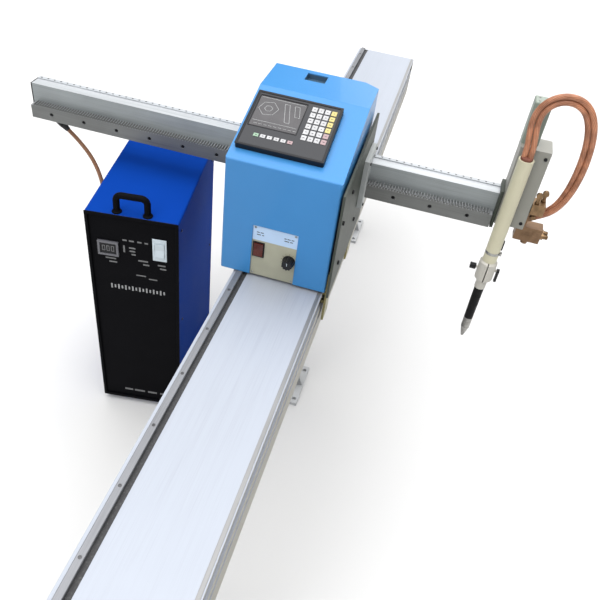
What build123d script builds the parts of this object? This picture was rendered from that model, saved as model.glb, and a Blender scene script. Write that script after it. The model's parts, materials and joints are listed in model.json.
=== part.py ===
from build123d import *
import os
from math import acos, atan2, ceil, cos, degrees, floor, pi, radians, sin, tan

os.makedirs("parts", exist_ok=True)

# Portable CNC flame cutting machine, in millimetres.
# X runs along the beam towards the torch, Y along the rail, Z up.
# The origin is on the floor, under the middle of the rail.

# Clearances
RUN_GAP = 0.5
ROLL_GAP = 0.3

# Rail and stands
RAIL_LENGTH = 2700.0
RAIL_WIDTH = 240.0
RAIL_HEIGHT = 150.0
RAIL_WALL = 8.0
RAIL_WEB = 14.0
RAIL_END_PLATE = 6.0
STAND_HEIGHT = 550.0
STAND_INSET = 350.0
STAND_FOOT = (140.0, 180.0)
STAND_PLATE = 12.0
STAND_POST = 90.0
STAND_POST_WALL = 5.0
RIB_HEIGHT = 60.0
RIB_THICKNESS = 6.0
RIB_MARGIN = 4.0
ANCHOR_SPACING = (112.0, 140.0)
ANCHOR_HOLE = 14.0
GUIDE_MARGIN = 9.0
GUIDE_WIDTH = 16.0
GUIDE_PROUD = 7.0
GUIDE_CHAMFER = 1.2
GUIDE_GROOVE_WIDTH = 28.0
GUIDE_GROOVE_DEPTH = 4.0
EDGE_MARGIN = 3.0
EDGE_STRIP_WIDTH = 9.0
EDGE_STRIP_PROUD = 1.0
EDGE_SEAT_DEPTH = 4.0
TRACK_LIP = 8.0
TRACK_HEIGHT = 40.0
TRACK_DEPTH = 18.0
SLOT_DROP = 71.0
SLOT_HEIGHT = 17.0
SLOT_DEPTH = 12.0

# Carriage cover
COVER_LEFT = -155.0
COVER_RIGHT = 126.0
COVER_FRONT = -295.0
COVER_DEPTH = 393.0
COVER_LIFT = 8.0
COVER_FRONT_HEIGHT = 322.0
CONSOLE_RISE = 75.0
CONSOLE_DEPTH = 247.0
COVER_WALL = 3.0
COVER_BEND = 5.0
CORNER_CUT = (45.0, 26.0)
SWITCH_CUT_WIDTH = 116.0
SWITCH_CUT_HEIGHT = 154.0
SWITCH_CUT_X = -18.0
TRAY_OPENING = (54.0, 44.0)
TRAY_X = -36.0
TRAY_BACK_MARGIN = 22.0
TRAY_DEPTH = 14.0
TRAY_RIM = 6.0
TRAY_FLOOR = 2.0
BASE_THICKNESS = 8.0
BASE_LIFT = 12.0
BASE_GAP = 1.0
BLOCK_LENGTH = 70.0
BLOCK_SIDE = 8.0
BLOCK_INSET = 20.0

# Side plate and roller brackets on the torch side
SIDE_PLATE = 6.0
SIDE_PLATE_FRONT = 12.0
SIDE_PLATE_BACK = 4.0
SIDE_PLATE_DROP = 4.0
SIDE_PLATE_HEIGHT = 305.0
SIDE_PLATE_RISE = 22.0
SIDE_PLATE_CREASE = 62.0
BRACKET_PLATE = 6.0
BRACKET_WIDTH = 50.0
BRACKET_RISE = 60.0
BRACKET_DROP = 96.0
BRACKET_INSET = 12.0
FORK_THICKNESS = 7.0
FORK_WIDTH = 30.0
ROLLER_RADIUS = 11.0
ROLLER_LENGTH = 20.0
ROLLER_PIN = 4.0

# Console, switch panel and controls
CONSOLE_SIZE = (214.0, 186.0)
CONSOLE_THICKNESS = 14.0
CONSOLE_X = -38.0
CONSOLE_EDGE = 5.0
SCREEN_SIZE = (116.0, 104.0)
SCREEN_CENTRE = (-38.0, 27.0)
SCREEN_DEPTH = 3.0
SCREEN_GLASS = 2.0
KEY_SIZE = (12.5, 15.0)
KEY_PITCH = (16.0, 19.5)
KEY_COUNT = (4, 6)
KEY_CENTRE = (65.0, 19.0)
KEY_PROUD = 1.2
SOFT_KEY_SIZE = (12.0, 10.0)
SOFT_KEY_PITCH = 16.5
SOFT_KEY_COUNT = 6
SOFT_KEY_CENTRE = (-26.0, -54.0)
SWITCH_PANEL = 3.0
SWITCH_PANEL_MARGIN = 9.0
ROCKER_SIZE = (24.0, 37.0)
ROCKER_X = -58.0
ROCKER_RISE = 82.0
ROCKER_PROUD = 5.0
ROCKER_DISH = 2.5
ROCKER_BACK = 8.0
ROCKER_GAP = 1.5
KNOB_RADIUS = 15.0
KNOB_LENGTH = 22.0
KNOB_X = 23.0
KNOB_RISE = 69.0
KNOB_FLUTES = 10
KNOB_FLUTE_RADIUS = 2.2
KNOB_TAPER = 4.0
KNOB_SKIRT = (16.4, 3.0)

# Rail drive
WHEEL_RADIUS = 42.0
WHEEL_WIDTH = 24.0
WHEEL_RIM = 8.0
WHEEL_WEB = 10.0
WHEEL_HUB = 12.0
WHEEL_BACK = 165.0
WHEEL_SLOT_GAP = 4.0
DRIVE_MOTOR = 40.0
DRIVE_MOTOR_LENGTH = 84.0
DRIVE_MOTOR_FOOT = 9.0
DRIVE_MOTOR_CHAMFER = 3.0
MOTOR_SHAFT = 6.0

# Beam, its rack and its drive
BEAM_WIDTH = 44.0
BEAM_HEIGHT = 94.0
BEAM_WALL = 5.0
BEAM_LIFT = 140.0
BEAM_LEFT = -837.0
BEAM_RIGHT = 492.0
BEAM_GROOVE = (5.0, 12.0)
BEAM_CAP = 5.0
CAP_CHAMFER = 1.6
STRIP_WIDTH = 12.0
STRIP_PROUD = 3.0
RACK_DEPTH = 22.0
RACK_HEIGHT = 44.0
RACK_MODULE = 2.5
TOOTH_DEDENDUM = 1.25
RACK_END_GAP = 2.0
RACK_BOLTS = 13
RACK_BOLT_PITCH = 100.0
RACK_BOLT_RISE = 20.0
RACK_BOLT_SEAT = (5.5, 6.0)
PRESSURE_ANGLE = 20.0
RACK_BACKLASH = 0.7
PINION_TEETH = 18
PINION_GAP = 2.0
FLANK_POINTS = 4
BEAM_MOTOR = 56.0
BEAM_MOTOR_LENGTH = 90.0
BEAM_MOTOR_EDGE = 5.0
BEAM_MOTOR_FLANGE = 9.0
BEAM_MOTOR_BELL = 16.0
BEAM_MOTOR_WAIST = 6.0
BEAM_MOTOR_CUT = 7.0
MOTOR_BRACKET = 8.0
MOTOR_BRACKET_WIDTH = 96.0
GUIDE_BLOCK = 14.0
GUIDE_BLOCK_MARGIN = 14.0
GUIDE_BLOCK_CHAMFER = 2.0
DRIVER_SIZE = (130.0, 70.0, 46.0)
DRIVER_PLACE = (-70.0, 40.0)

# Torch and lifter
TORCH_X = 520.0
TORCH_Y = -41.0
TORCH_DROP = 87.0
TUBE_LENGTH = 310.0
TUBE_RADIUS = 19.0
TUBE_BORE = 15.0
TUBE_MOUTH = 14.0
CLAMP_LENGTH = 65.0
CLAMP_RADIUS = 24.0
CLAMP_SLIT = 3.0
NECK_LENGTH = 29.0
NECK_RADIUS = 15.0
INSULATOR_LENGTH = 116.0
INSULATOR_RADIUS = 13.5
INSULATOR_GROOVE = (1.2, 3.0)
INSULATOR_GROOVES = 3
NOZZLE_LENGTH = 73.0
NOZZLE_RADIUS = 12.5
NOZZLE_TIP = 4.0
NOZZLE_BORE = 1.5
CLAMP_KNOB_RADIUS = 9.0
CLAMP_KNOB_LENGTH = 16.0
CLAMP_KNOB_SIDES = 8
CLAMP_STUD = 4.0
CLAMP_CONTROL_DROP = 30.0
LEVER_LENGTH = 34.0
LEVER_WIDTH = 10.0
LEVER_THICKNESS = 7.0
CONTROL_GAP = 0.6
LIFTER_PLATE = 8.0
LIFTER_PLATE_MARGIN = 16.0
LIFTER_WIDTH = 77.0
LIFTER_FRONT = -18.0
LIFTER_DEPTH = 68.0
LIFTER_LIFT = 15.0
LIFTER_HEIGHT = 225.0
LIFTER_WALL = 4.0
LIFTER_BEND = 4.0
LIFTER_SLOT = 20.0
LIFTER_SLOT_HEIGHT = 190.0
CARRIER_WIDTH = 16.0
CARRIER_HEIGHT = 60.0
CARRIER_BACK = 26.0
CARRIER_LIFT = 8.0
SCREW_RADIUS = 6.0
COLUMN_SIZE = (42.0, 42.0)
COLUMN_HEIGHT = 108.0
COLUMN_INSET = 4.0
COLUMN_CHAMFER = 2.0
MANIFOLD_SIZE = (34.0, 38.0, 30.0)
MANIFOLD_DROP = 160.0
MANIFOLD_CHAMFER = 2.0
VALVE_STEM = 4.0
VALVE_STEM_HEIGHT = 8.0
VALVE_HEIGHT = 14.0
VALVE_WIDTH = 8.0
VALVE_PLACES = ((10.0, -9.0), (26.0, 9.0))
HOSE_BLOCK = (68.0, 36.0, 43.0)
HOSE_BLOCK_LAP = 15.0
HOSE_COLLAR = (9.0, 14.0)
PORT_PLATE = (6.0, 46.0)
PORT_PLACE = (5.0, 21.0)
PORT_RADIUS = 8.6
PORT_REACH = 9.5
PORT_TILT = 28.0
HOSE_DIAMETER = 14.0
HOSE_PAIR = 14.8
HOSE_LAST_RUN = 27.0
OUTER_RISE = 245.0
INNER_RISE = 246.0
ROUTE_SHARE = 0.45

# Supply lead at the beam's free end
LEAD_DIAMETER = 12.0
LEAD_X = -790.0
LEAD_FIRST_RUN = 34.0
GLAND_HUB = (13.0, 11.0)
GLAND_RADIUS = 10.0
GLAND_LENGTH = 30.0
GLAND_TILT = 50.0
CONNECTOR_RADIUS = 11.0
CONNECTOR_LENGTH = 34.0
CONNECTOR_NOSE = (8.0, 11.3)

# Power unit beside the rail
UNIT_CORNER = (-547.0, -277.0)
UNIT_TURN = 8.4
UNIT_SIZE = (256.0, 440.0, 740.0)
UNIT_FOOT = (14.0, 20.0)
UNIT_FOOT_INSET = 30.0
UNIT_WALL = 3.0
UNIT_BEND = 6.0
UNIT_PANEL = 8.0
UNIT_PANEL_RECESS = 2.0
UNIT_LOUVRES = 9
UNIT_LOUVRE = (120.0, 7.0)
UNIT_LOUVRE_PITCH = 22.0
UNIT_LOUVRE_DROP = 300.0
UNIT_VENTS = 7
UNIT_VENT = (150.0, 8.0)
UNIT_VENT_DROP = 190.0
HANDLE_SPAN = 84.0
HANDLE_HEIGHT = 62.0
HANDLE_RADIUS = 9.0
HANDLE_BEND = 16.0
HANDLE_PLACE = (127.0, 15.0)
METER_SIZE = (58.0, 48.0)
METER_PROUD = 6.0
METER_X = 58.0
METER_DROP = 116.0
METER_WINDOW = 6.0
UNIT_SWITCH_SIZE = (26.0, 44.0)
UNIT_SWITCH_X = 202.0
UNIT_SWITCH_DROP = 98.0

# Levels and places that follow from the sizes above
STAND_SPACING = RAIL_LENGTH / 2 - STAND_INSET
RAIL_TOP = STAND_HEIGHT + RAIL_HEIGHT
RAIL_MID = STAND_HEIGHT + RAIL_HEIGHT / 2
GUIDE_X = -RAIL_WIDTH / 2 + GUIDE_MARGIN + GUIDE_WIDTH / 2
GROOVE_X = -RAIL_WIDTH / 2 + GUIDE_MARGIN + GUIDE_GROOVE_WIDTH / 2
EDGE_X = RAIL_WIDTH / 2 - EDGE_MARGIN - EDGE_STRIP_WIDTH / 2
TRACK_Z = RAIL_TOP - TRACK_LIP - TRACK_HEIGHT / 2
SLOT_Z = RAIL_TOP - SLOT_DROP - SLOT_HEIGHT / 2
TRACK_FACE = RAIL_WIDTH / 2 - TRACK_DEPTH
COVER_WIDTH = COVER_RIGHT - COVER_LEFT
COVER_BOTTOM = RAIL_TOP + COVER_LIFT
COVER_BACK = COVER_FRONT + COVER_DEPTH
FRONT_TOP = COVER_BOTTOM + COVER_FRONT_HEIGHT
COVER_TOP = FRONT_TOP + CONSOLE_RISE
CREASE_Y = COVER_FRONT + CONSOLE_DEPTH
CONSOLE_TILT = degrees(atan2(CONSOLE_RISE, CONSOLE_DEPTH))
BASE_BOTTOM = RAIL_TOP + BASE_LIFT
BASE_TOP = BASE_BOTTOM + BASE_THICKNESS
PANEL_Y = COVER_FRONT + COVER_WALL
BASE_FRONT = PANEL_Y + SWITCH_PANEL + BASE_GAP
BASE_BACK = COVER_BACK - COVER_WALL - CORNER_CUT[1]
PLATE_X = COVER_RIGHT + BRACKET_PLATE
PLATE_OUT = PLATE_X + SIDE_PLATE
PLATE_BOTTOM = COVER_BOTTOM - SIDE_PLATE_DROP
PLATE_TOP = PLATE_BOTTOM + SIDE_PLATE_HEIGHT
BRACKET_TOP = RAIL_TOP + BRACKET_RISE
BRACKET_BOTTOM = RAIL_TOP - BRACKET_DROP
ROCKER_PLACE = (ROCKER_X, COVER_BOTTOM + ROCKER_RISE)
KNOB_PLACE = (KNOB_X, COVER_BOTTOM + KNOB_RISE)
BEAM_BOTTOM = RAIL_TOP + BEAM_LIFT
BEAM_TOP = BEAM_BOTTOM + BEAM_HEIGHT
BEAM_MID = BEAM_BOTTOM + BEAM_HEIGHT / 2
BEAM_LENGTH = BEAM_RIGHT - BEAM_LEFT
RACK_TOP = BEAM_BOTTOM + RACK_HEIGHT
RACK_LEFT = BEAM_LEFT + RACK_END_GAP
RACK_RIGHT = BEAM_RIGHT - RACK_END_GAP
PINION_RADIUS = RACK_MODULE * PINION_TEETH / 2
PINION_Z = RACK_TOP - RACK_MODULE + PINION_RADIUS
PINION_WIDTH = RACK_DEPTH - 2 * PINION_GAP
WHEEL_Z = RAIL_TOP + ROLL_GAP + WHEEL_RADIUS
WHEEL_Y = COVER_FRONT + WHEEL_BACK
WINDOW_FRONT = -RACK_DEPTH - RUN_GAP
WINDOW_BACK = BEAM_WIDTH + RUN_GAP
LIFTER_LEFT = BEAM_RIGHT + LIFTER_PLATE
LIFTER_RIGHT = LIFTER_LEFT + LIFTER_WIDTH
LIFTER_BOTTOM = BEAM_BOTTOM + LIFTER_LIFT
LIFTER_TOP = LIFTER_BOTTOM + LIFTER_HEIGHT
LIFTER_BACK = LIFTER_FRONT + LIFTER_DEPTH
TUBE_BOTTOM = BEAM_BOTTOM - TORCH_DROP
TUBE_TOP = TUBE_BOTTOM + TUBE_LENGTH
CLAMP_BOTTOM = TUBE_BOTTOM - CLAMP_LENGTH
NECK_BOTTOM = CLAMP_BOTTOM - NECK_LENGTH
INSULATOR_BOTTOM = NECK_BOTTOM - INSULATOR_LENGTH
NOZZLE_BOTTOM = INSULATOR_BOTTOM - NOZZLE_LENGTH
CARRIER_Z = (TUBE_TOP + TUBE_BOTTOM) / 2 + CARRIER_LIFT
SCREW_Y = LIFTER_FRONT + LIFTER_DEPTH / 2
MANIFOLD_Z = LIFTER_TOP - MANIFOLD_DROP
CLAMP_CONTROL_Z = TUBE_BOTTOM - CLAMP_CONTROL_DROP
HOSE_BLOCK_X = LIFTER_RIGHT - HOSE_BLOCK_LAP + HOSE_BLOCK[0] / 2
UNIT_TOP = UNIT_FOOT[1] + UNIT_SIZE[2]
METER_PLACE = (METER_X, UNIT_TOP - METER_DROP)
UNIT_SWITCH_PLACE = (UNIT_SWITCH_X, UNIT_TOP - UNIT_SWITCH_DROP)
UNIT_PLANE = Plane(
    origin=(UNIT_CORNER[0], UNIT_CORNER[1], 0),
    x_dir=(cos(radians(UNIT_TURN)), sin(radians(UNIT_TURN)), 0),
    z_dir=(0, 0, 1),
)
CONSOLE_PLANE = Plane(
    origin=(CONSOLE_X, COVER_FRONT + CONSOLE_DEPTH / 2, FRONT_TOP + CONSOLE_RISE / 2),
    x_dir=(1, 0, 0),
    z_dir=(0, -sin(radians(CONSOLE_TILT)), cos(radians(CONSOLE_TILT))),
)
TORCH_PLANE = Plane(origin=(TORCH_X, TORCH_Y, 0), x_dir=(1, 0, 0), z_dir=(0, -1, 0))
PORT_PLANE = Plane(
    origin=(LIFTER_RIGHT + PORT_PLACE[0], SCREW_Y, LIFTER_BOTTOM + PORT_PLACE[1]),
    x_dir=(0, 1, 0),
    z_dir=(cos(radians(PORT_TILT)), 0, sin(radians(PORT_TILT))),
)
GLAND_PLANE = Plane(
    origin=(LEAD_X, BEAM_WIDTH / 2, BEAM_BOTTOM - GLAND_HUB[1]),
    x_dir=(0, 1, 0),
    z_dir=(sin(radians(GLAND_TILT)), 0, -cos(radians(GLAND_TILT))),
)

# Routes of the hoses and the lead, chosen by eye between the ports they are made up to
HOSE_ENDS = {
    side: [
        tuple(PORT_PLANE.from_local_coords((side * HOSE_PAIR / 2, 0, PORT_REACH + run)))
        for run in (HOSE_LAST_RUN, 0)
    ]
    for side in (-1, 1)
}
# The loops' heights are taken from the underside of the beam that carries the torch
OUTER_LOOP = [
    (506.8, -40.5, 281.5), (501.2, -40.0, 317.1), (505.5, -39.0, 350.6), (524.5, -37.5, 377.7),
    (554.0, -36.0, 392.7), (587.2, -34.0, 391.6), (615.9, -31.5, 374.4), (635.9, -28.5, 345.0),
    (649.4, -25.0, 305.7), (657.6, -20.0, 259.5), (660.6, -16.8, 210.9), (658.7, -11.5, 162.3),
    (651.4, -4.5, 116.1), (636.8, 3.1, 77.9),
]
INNER_LOOP = [
    (521.4, -40.5, 283.7), (516.0, -40.0, 317.3), (519.3, -39.0, 345.3), (534.2, -37.5, 366.5),
    (557.2, -36.0, 378.3), (583.0, -34.0, 377.4), (605.7, -31.5, 363.7), (622.6, -28.5, 338.4),
    (635.1, -25.0, 302.0), (642.9, -20.0, 257.7), (646.6, -12.2, 210.5), (646.8, -2.9, 163.1),
    (642.9, 7.5, 118.0), (632.8, 17.1, 80.1),
]
HOSE_ROUTES = {
    name: [
        (TORCH_X + side * HOSE_PAIR / 2, TORCH_Y, TUBE_TOP - TUBE_MOUTH),
        (TORCH_X + side * HOSE_PAIR / 2, TORCH_Y, BEAM_BOTTOM + first_rise),
        *((across, back, BEAM_BOTTOM + rise) for across, back, rise in loop),
        *HOSE_ENDS[side],
    ]
    for name, side, first_rise, loop in (
        ("torch_hose_outer", -1, OUTER_RISE, OUTER_LOOP),
        ("torch_hose_inner", 1, INNER_RISE, INNER_LOOP),
    )
}
LEAD_ROUTE = [
    *(tuple(GLAND_PLANE.from_local_coords((0, 0, GLAND_LENGTH + run))) for run in (0, LEAD_FIRST_RUN)),
    (-712, 19, 762.5), (-683, 13, 734), (-660, 7, 698), (-644, 0, 654), (-635, -6, 601), (-631, -11, 538),
    (-629, -14, 468), (-628, -15, 396), (-628.5, -14, 324), (-629, -10, 254), (-630, -3, 188),
    (-631, 9, 128), (-631.5, 27, 78), (-631, 54, 40), (-629.5, 90, 18),
    (-628, 134, CONNECTOR_RADIUS + ROLL_GAP), (-627.5, 177, CONNECTOR_RADIUS + ROLL_GAP),
]


def save(piece, name):
    """Label a finished piece and write its STEP file."""
    piece.part.label = name
    export_step(piece.part, f"parts/{name}.step")


def corner_radii(points):
    """Give each inner corner of a route the largest radius that its two runs leave room for."""
    radii = []
    for before, corner, after in zip(points, points[1:], points[2:]):
        first = Vector(*corner) - Vector(*before)
        second = Vector(*after) - Vector(*corner)
        half_turn = radians(first.get_angle(second)) / 2
        radii.append(ROUTE_SHARE * min(first.length, second.length) / tan(half_turn))
    return radii


def tube_along(points, diameter, name):
    """Sweep a round tube along straight runs joined by tangent arcs."""
    radii = corner_radii(points)
    print(name, "radii", [round(radius) for radius in radii])
    print(name, "least radius in diameters", round(min(radii) / diameter, 1))
    with BuildPart() as tube:
        with BuildLine() as path:
            FilletPolyline(*points, radius=radii)
        with BuildSketch(Plane(origin=path.wires()[0] @ 0, z_dir=path.wires()[0] % 0)):
            Circle(diameter / 2)
        sweep()
    length = path.wires()[0].length
    share = tube.part.volume / (pi * diameter ** 2 / 4 * length)
    print(name, "length", round(length), "volume over section times length", round(share, 4))
    return tube


def involute_flank(teeth, module, backlash):
    """Half-tooth flank of a pinion, as angles from the tooth's middle and radii, root to tip."""
    pitch = module * teeth / 2
    base = pitch * cos(radians(PRESSURE_ANGLE))
    root = pitch - TOOTH_DEDENDUM * module
    tip = pitch + module
    half_pitch_angle = pi / (2 * teeth) - backlash / (2 * pitch)
    roll = tan(radians(PRESSURE_ANGLE)) - radians(PRESSURE_ANGLE)
    first = max(base, root)
    flank = [] if root >= base else [(half_pitch_angle + roll, root)]
    for step in range(FLANK_POINTS):
        radius = first + (tip - first) * step / (FLANK_POINTS - 1)
        angle = acos(base / radius)
        flank.append((half_pitch_angle + roll - (tan(angle) - angle), radius))
    return flank


# Rail: a hollow extrusion with a guide groove on top and two tracks on each side
with BuildPart() as rail_beam:
    with BuildSketch(Plane.XZ):
        with Locations((0, RAIL_MID)):
            Rectangle(RAIL_WIDTH, RAIL_HEIGHT)
        with Locations((GROOVE_X, RAIL_TOP - GUIDE_GROOVE_DEPTH / 2)):
            Rectangle(GUIDE_GROOVE_WIDTH, GUIDE_GROOVE_DEPTH, mode=Mode.SUBTRACT)
        with Locations((EDGE_X, RAIL_TOP - EDGE_SEAT_DEPTH / 2)):
            Rectangle(EDGE_STRIP_WIDTH, EDGE_SEAT_DEPTH, mode=Mode.SUBTRACT)
        chamber_width = TRACK_FACE - RAIL_WALL - RAIL_WEB / 2
        chamber_height = RAIL_HEIGHT - 2 * RAIL_WALL - GUIDE_GROOVE_DEPTH
        for side in (-1, 1):
            with Locations((side * (RAIL_WIDTH - TRACK_DEPTH) / 2, TRACK_Z)):
                Rectangle(TRACK_DEPTH, TRACK_HEIGHT, mode=Mode.SUBTRACT)
            with Locations((side * (RAIL_WIDTH - SLOT_DEPTH) / 2, SLOT_Z)):
                Rectangle(SLOT_DEPTH, SLOT_HEIGHT, mode=Mode.SUBTRACT)
            with Locations((side * RAIL_WEB / 2, STAND_HEIGHT + RAIL_WALL)):
                chamber_side = Align.MIN if side > 0 else Align.MAX
                Rectangle(chamber_width, chamber_height, align=(chamber_side, Align.MIN), mode=Mode.SUBTRACT)
    extrude(amount=RAIL_LENGTH / 2, both=True)
save(rail_beam, "rail_beam")

with BuildPart() as guide_rail:
    with BuildSketch(Plane.XZ):
        with Locations((GUIDE_X, RAIL_TOP - GUIDE_GROOVE_DEPTH)):
            Rectangle(GUIDE_WIDTH, GUIDE_GROOVE_DEPTH + GUIDE_PROUD, align=(Align.CENTER, Align.MIN))
    extrude(amount=RAIL_LENGTH / 2, both=True)
    chamfer(guide_rail.edges().filter_by(Axis.Y).group_by(Axis.Z)[-1], GUIDE_CHAMFER)
save(guide_rail, "guide_rail")

with BuildPart() as edge_strip:
    with BuildSketch(Plane.XZ):
        with Locations((EDGE_X, RAIL_TOP - EDGE_SEAT_DEPTH)):
            Rectangle(EDGE_STRIP_WIDTH, EDGE_SEAT_DEPTH + EDGE_STRIP_PROUD, align=(Align.CENTER, Align.MIN))
    extrude(amount=RAIL_LENGTH / 2, both=True)
save(edge_strip, "edge_strip")

with BuildPart() as rail_ends:
    for end in (-1, 1):
        with Locations((0, end * (RAIL_LENGTH + RAIL_END_PLATE) / 2, RAIL_MID)):
            Box(RAIL_WIDTH, RAIL_END_PLATE, RAIL_HEIGHT)
save(rail_ends, "rail_ends")

# Stands: a ribbed square post between a foot plate with anchor holes and a top plate
for place, name in zip((-1, 0, 1), ("stand_near", "stand_middle", "stand_far")):
    with BuildPart() as stand:
        with Locations((0, place * STAND_SPACING, 0)):
            Box(*STAND_FOOT, STAND_PLATE, align=(Align.CENTER, Align.CENTER, Align.MIN))
        with Locations((0, place * STAND_SPACING, STAND_HEIGHT - STAND_PLATE)):
            Box(*STAND_FOOT, STAND_PLATE, align=(Align.CENTER, Align.CENTER, Align.MIN))
        with BuildSketch(Plane.XY.offset(STAND_PLATE)):
            with Locations((0, place * STAND_SPACING)):
                RectangleRounded(STAND_POST, STAND_POST, 2 * STAND_POST_WALL)
                inner_post = STAND_POST - 2 * STAND_POST_WALL
                RectangleRounded(inner_post, inner_post, STAND_POST_WALL, mode=Mode.SUBTRACT)
        extrude(amount=STAND_HEIGHT - 2 * STAND_PLATE)
        for across, along in ((1, 0), (0, 1), (-1, 0), (0, -1)):
            rib_plane = Plane(
                origin=(0, place * STAND_SPACING, STAND_PLATE),
                x_dir=(across, along, 0),
                z_dir=(along, -across, 0),
            )
            rib_reach = STAND_FOOT[0 if across else 1] / 2 - RIB_MARGIN
            with BuildSketch(rib_plane):
                with BuildLine():
                    Polyline((STAND_POST / 2, 0), (rib_reach, 0), (STAND_POST / 2, RIB_HEIGHT), close=True)
                make_face()
            extrude(amount=RIB_THICKNESS / 2, both=True)
        with Locations((0, place * STAND_SPACING, STAND_PLATE)):
            with GridLocations(*ANCHOR_SPACING, 2, 2):
                Hole(ANCHOR_HOLE / 2, depth=STAND_PLATE)
    save(stand, name)

# Carriage cover: one folded shell, open below, with its openings
with BuildPart() as cover:
    with BuildSketch(Plane.YZ.offset(COVER_LEFT)):
        with BuildLine():
            Polyline(
                (COVER_FRONT, COVER_BOTTOM),
                (COVER_FRONT, FRONT_TOP),
                (CREASE_Y, COVER_TOP),
                (COVER_BACK, COVER_TOP),
                (COVER_BACK, COVER_BOTTOM),
                close=True,
            )
        make_face()
    extrude(amount=COVER_WIDTH)
    back_corner = cover.edges().filter_by(Axis.Z).group_by(Axis.Y)[-1].sort_by(Axis.X)[-1]
    chamfer(back_corner, *CORNER_CUT, reference=cover.faces().sort_by(Axis.Y)[-1])
    front_corners = cover.edges().filter_by(Axis.Z).group_by(Axis.Y)[0]
    across = cover.edges().filter_by(Axis.X).filter_by(lambda edge: edge.center().Z > FRONT_TOP - 1)
    fillet(front_corners + across, COVER_BEND)
    offset(amount=-COVER_WALL, openings=cover.faces().sort_by(Axis.Z)[0])
    with BuildSketch(Plane.YZ.offset(COVER_LEFT - COVER_WALL)):
        with Locations(((WINDOW_FRONT + WINDOW_BACK) / 2, BEAM_MID)):
            beam_opening = (
                WINDOW_BACK - WINDOW_FRONT + GUIDE_BLOCK_MARGIN,
                BEAM_HEIGHT + 2 * STRIP_PROUD + GUIDE_BLOCK_MARGIN,
            )
            Rectangle(*beam_opening)
    extrude(amount=COVER_WIDTH + 2 * COVER_WALL, mode=Mode.SUBTRACT)
    with Locations((SWITCH_CUT_X, COVER_FRONT, COVER_BOTTOM)):
        Box(
            SWITCH_CUT_WIDTH, 2 * COVER_WALL, SWITCH_CUT_HEIGHT,
            align=(Align.CENTER, Align.CENTER, Align.MIN), mode=Mode.SUBTRACT,
        )
    with Locations((TRAY_X, COVER_BACK - TRAY_BACK_MARGIN, COVER_TOP)):
        Box(*TRAY_OPENING, 4 * COVER_WALL, align=(Align.CENTER, Align.MAX, Align.CENTER), mode=Mode.SUBTRACT)
save(cover, "cover")

tray_y = COVER_BACK - TRAY_BACK_MARGIN - TRAY_OPENING[1] / 2
with BuildPart() as top_tray:
    with BuildSketch(Plane.XY.offset(COVER_TOP - COVER_WALL)):
        with Locations((TRAY_X, tray_y)):
            Rectangle(TRAY_OPENING[0] + 2 * TRAY_RIM, TRAY_OPENING[1] + 2 * TRAY_RIM)
    extrude(amount=-TRAY_DEPTH)
    with BuildSketch(Plane.XY.offset(COVER_TOP - COVER_WALL)):
        with Locations((TRAY_X, tray_y)):
            Rectangle(*TRAY_OPENING)
    extrude(amount=-(TRAY_DEPTH - TRAY_FLOOR), mode=Mode.SUBTRACT)
save(top_tray, "top_tray")

# Base plate with its wheel slot, and the two blocks that run on the guide rail
with BuildPart() as base_plate:
    with BuildSketch(Plane.XY.offset(BASE_BOTTOM)):
        with Locations((COVER_LEFT + COVER_WALL + BASE_GAP, BASE_FRONT)):
            Rectangle(
                COVER_WIDTH - 2 * (COVER_WALL + BASE_GAP),
                BASE_BACK - BASE_FRONT,
                align=(Align.MIN, Align.MIN),
            )
        with Locations((0, WHEEL_Y)):
            Rectangle(
                WHEEL_WIDTH + 2 * WHEEL_SLOT_GAP, 2 * (WHEEL_RADIUS + WHEEL_SLOT_GAP), mode=Mode.SUBTRACT
            )
    extrude(amount=BASE_THICKNESS)
save(base_plate, "base_plate")

with BuildPart() as bearing_blocks:
    block_bottom = RAIL_TOP + RUN_GAP
    block_half = BLOCK_LENGTH / 2 + BLOCK_INSET
    for block_y in (BASE_FRONT + block_half, BASE_BACK - block_half):
        with Locations((GUIDE_X, block_y, block_bottom)):
            Box(
                GUIDE_WIDTH + 2 * BLOCK_SIDE, BLOCK_LENGTH, BASE_BOTTOM - block_bottom,
                align=(Align.CENTER, Align.CENTER, Align.MIN),
            )
            Box(
                GUIDE_WIDTH + 2 * RUN_GAP, BLOCK_LENGTH, GUIDE_PROUD,
                align=(Align.CENTER, Align.CENTER, Align.MIN), mode=Mode.SUBTRACT,
            )
save(bearing_blocks, "bearing_blocks")

# Roller brackets: a plate beside the rail with a fork that reaches into the upper track
ROLLER_X = TRACK_FACE + ROLL_GAP + ROLLER_RADIUS
bracket_ys = (COVER_FRONT + BRACKET_INSET + BRACKET_WIDTH / 2, COVER_BACK - CORNER_CUT[1] - BRACKET_WIDTH)
with BuildPart() as roller_brackets:
    for bracket_y in bracket_ys:
        with Locations((COVER_RIGHT, bracket_y, BRACKET_BOTTOM)):
            Box(
                BRACKET_PLATE, BRACKET_WIDTH, BRACKET_TOP - BRACKET_BOTTOM,
                align=(Align.MIN, Align.CENTER, Align.MIN),
            )
        for side in (-1, 1):
            fork_z = TRACK_Z + side * (ROLLER_LENGTH / 2 + RUN_GAP + FORK_THICKNESS / 2)
            with Locations((COVER_RIGHT, bracket_y, fork_z)):
                Box(
                    COVER_RIGHT - ROLLER_X + FORK_THICKNESS, FORK_WIDTH, FORK_THICKNESS,
                    align=(Align.MAX, Align.CENTER, Align.CENTER),
                )
        with Locations((ROLLER_X, bracket_y, TRACK_Z)):
            Cylinder(ROLLER_PIN, ROLLER_LENGTH + 2 * RUN_GAP)
save(roller_brackets, "roller_brackets")

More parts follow.
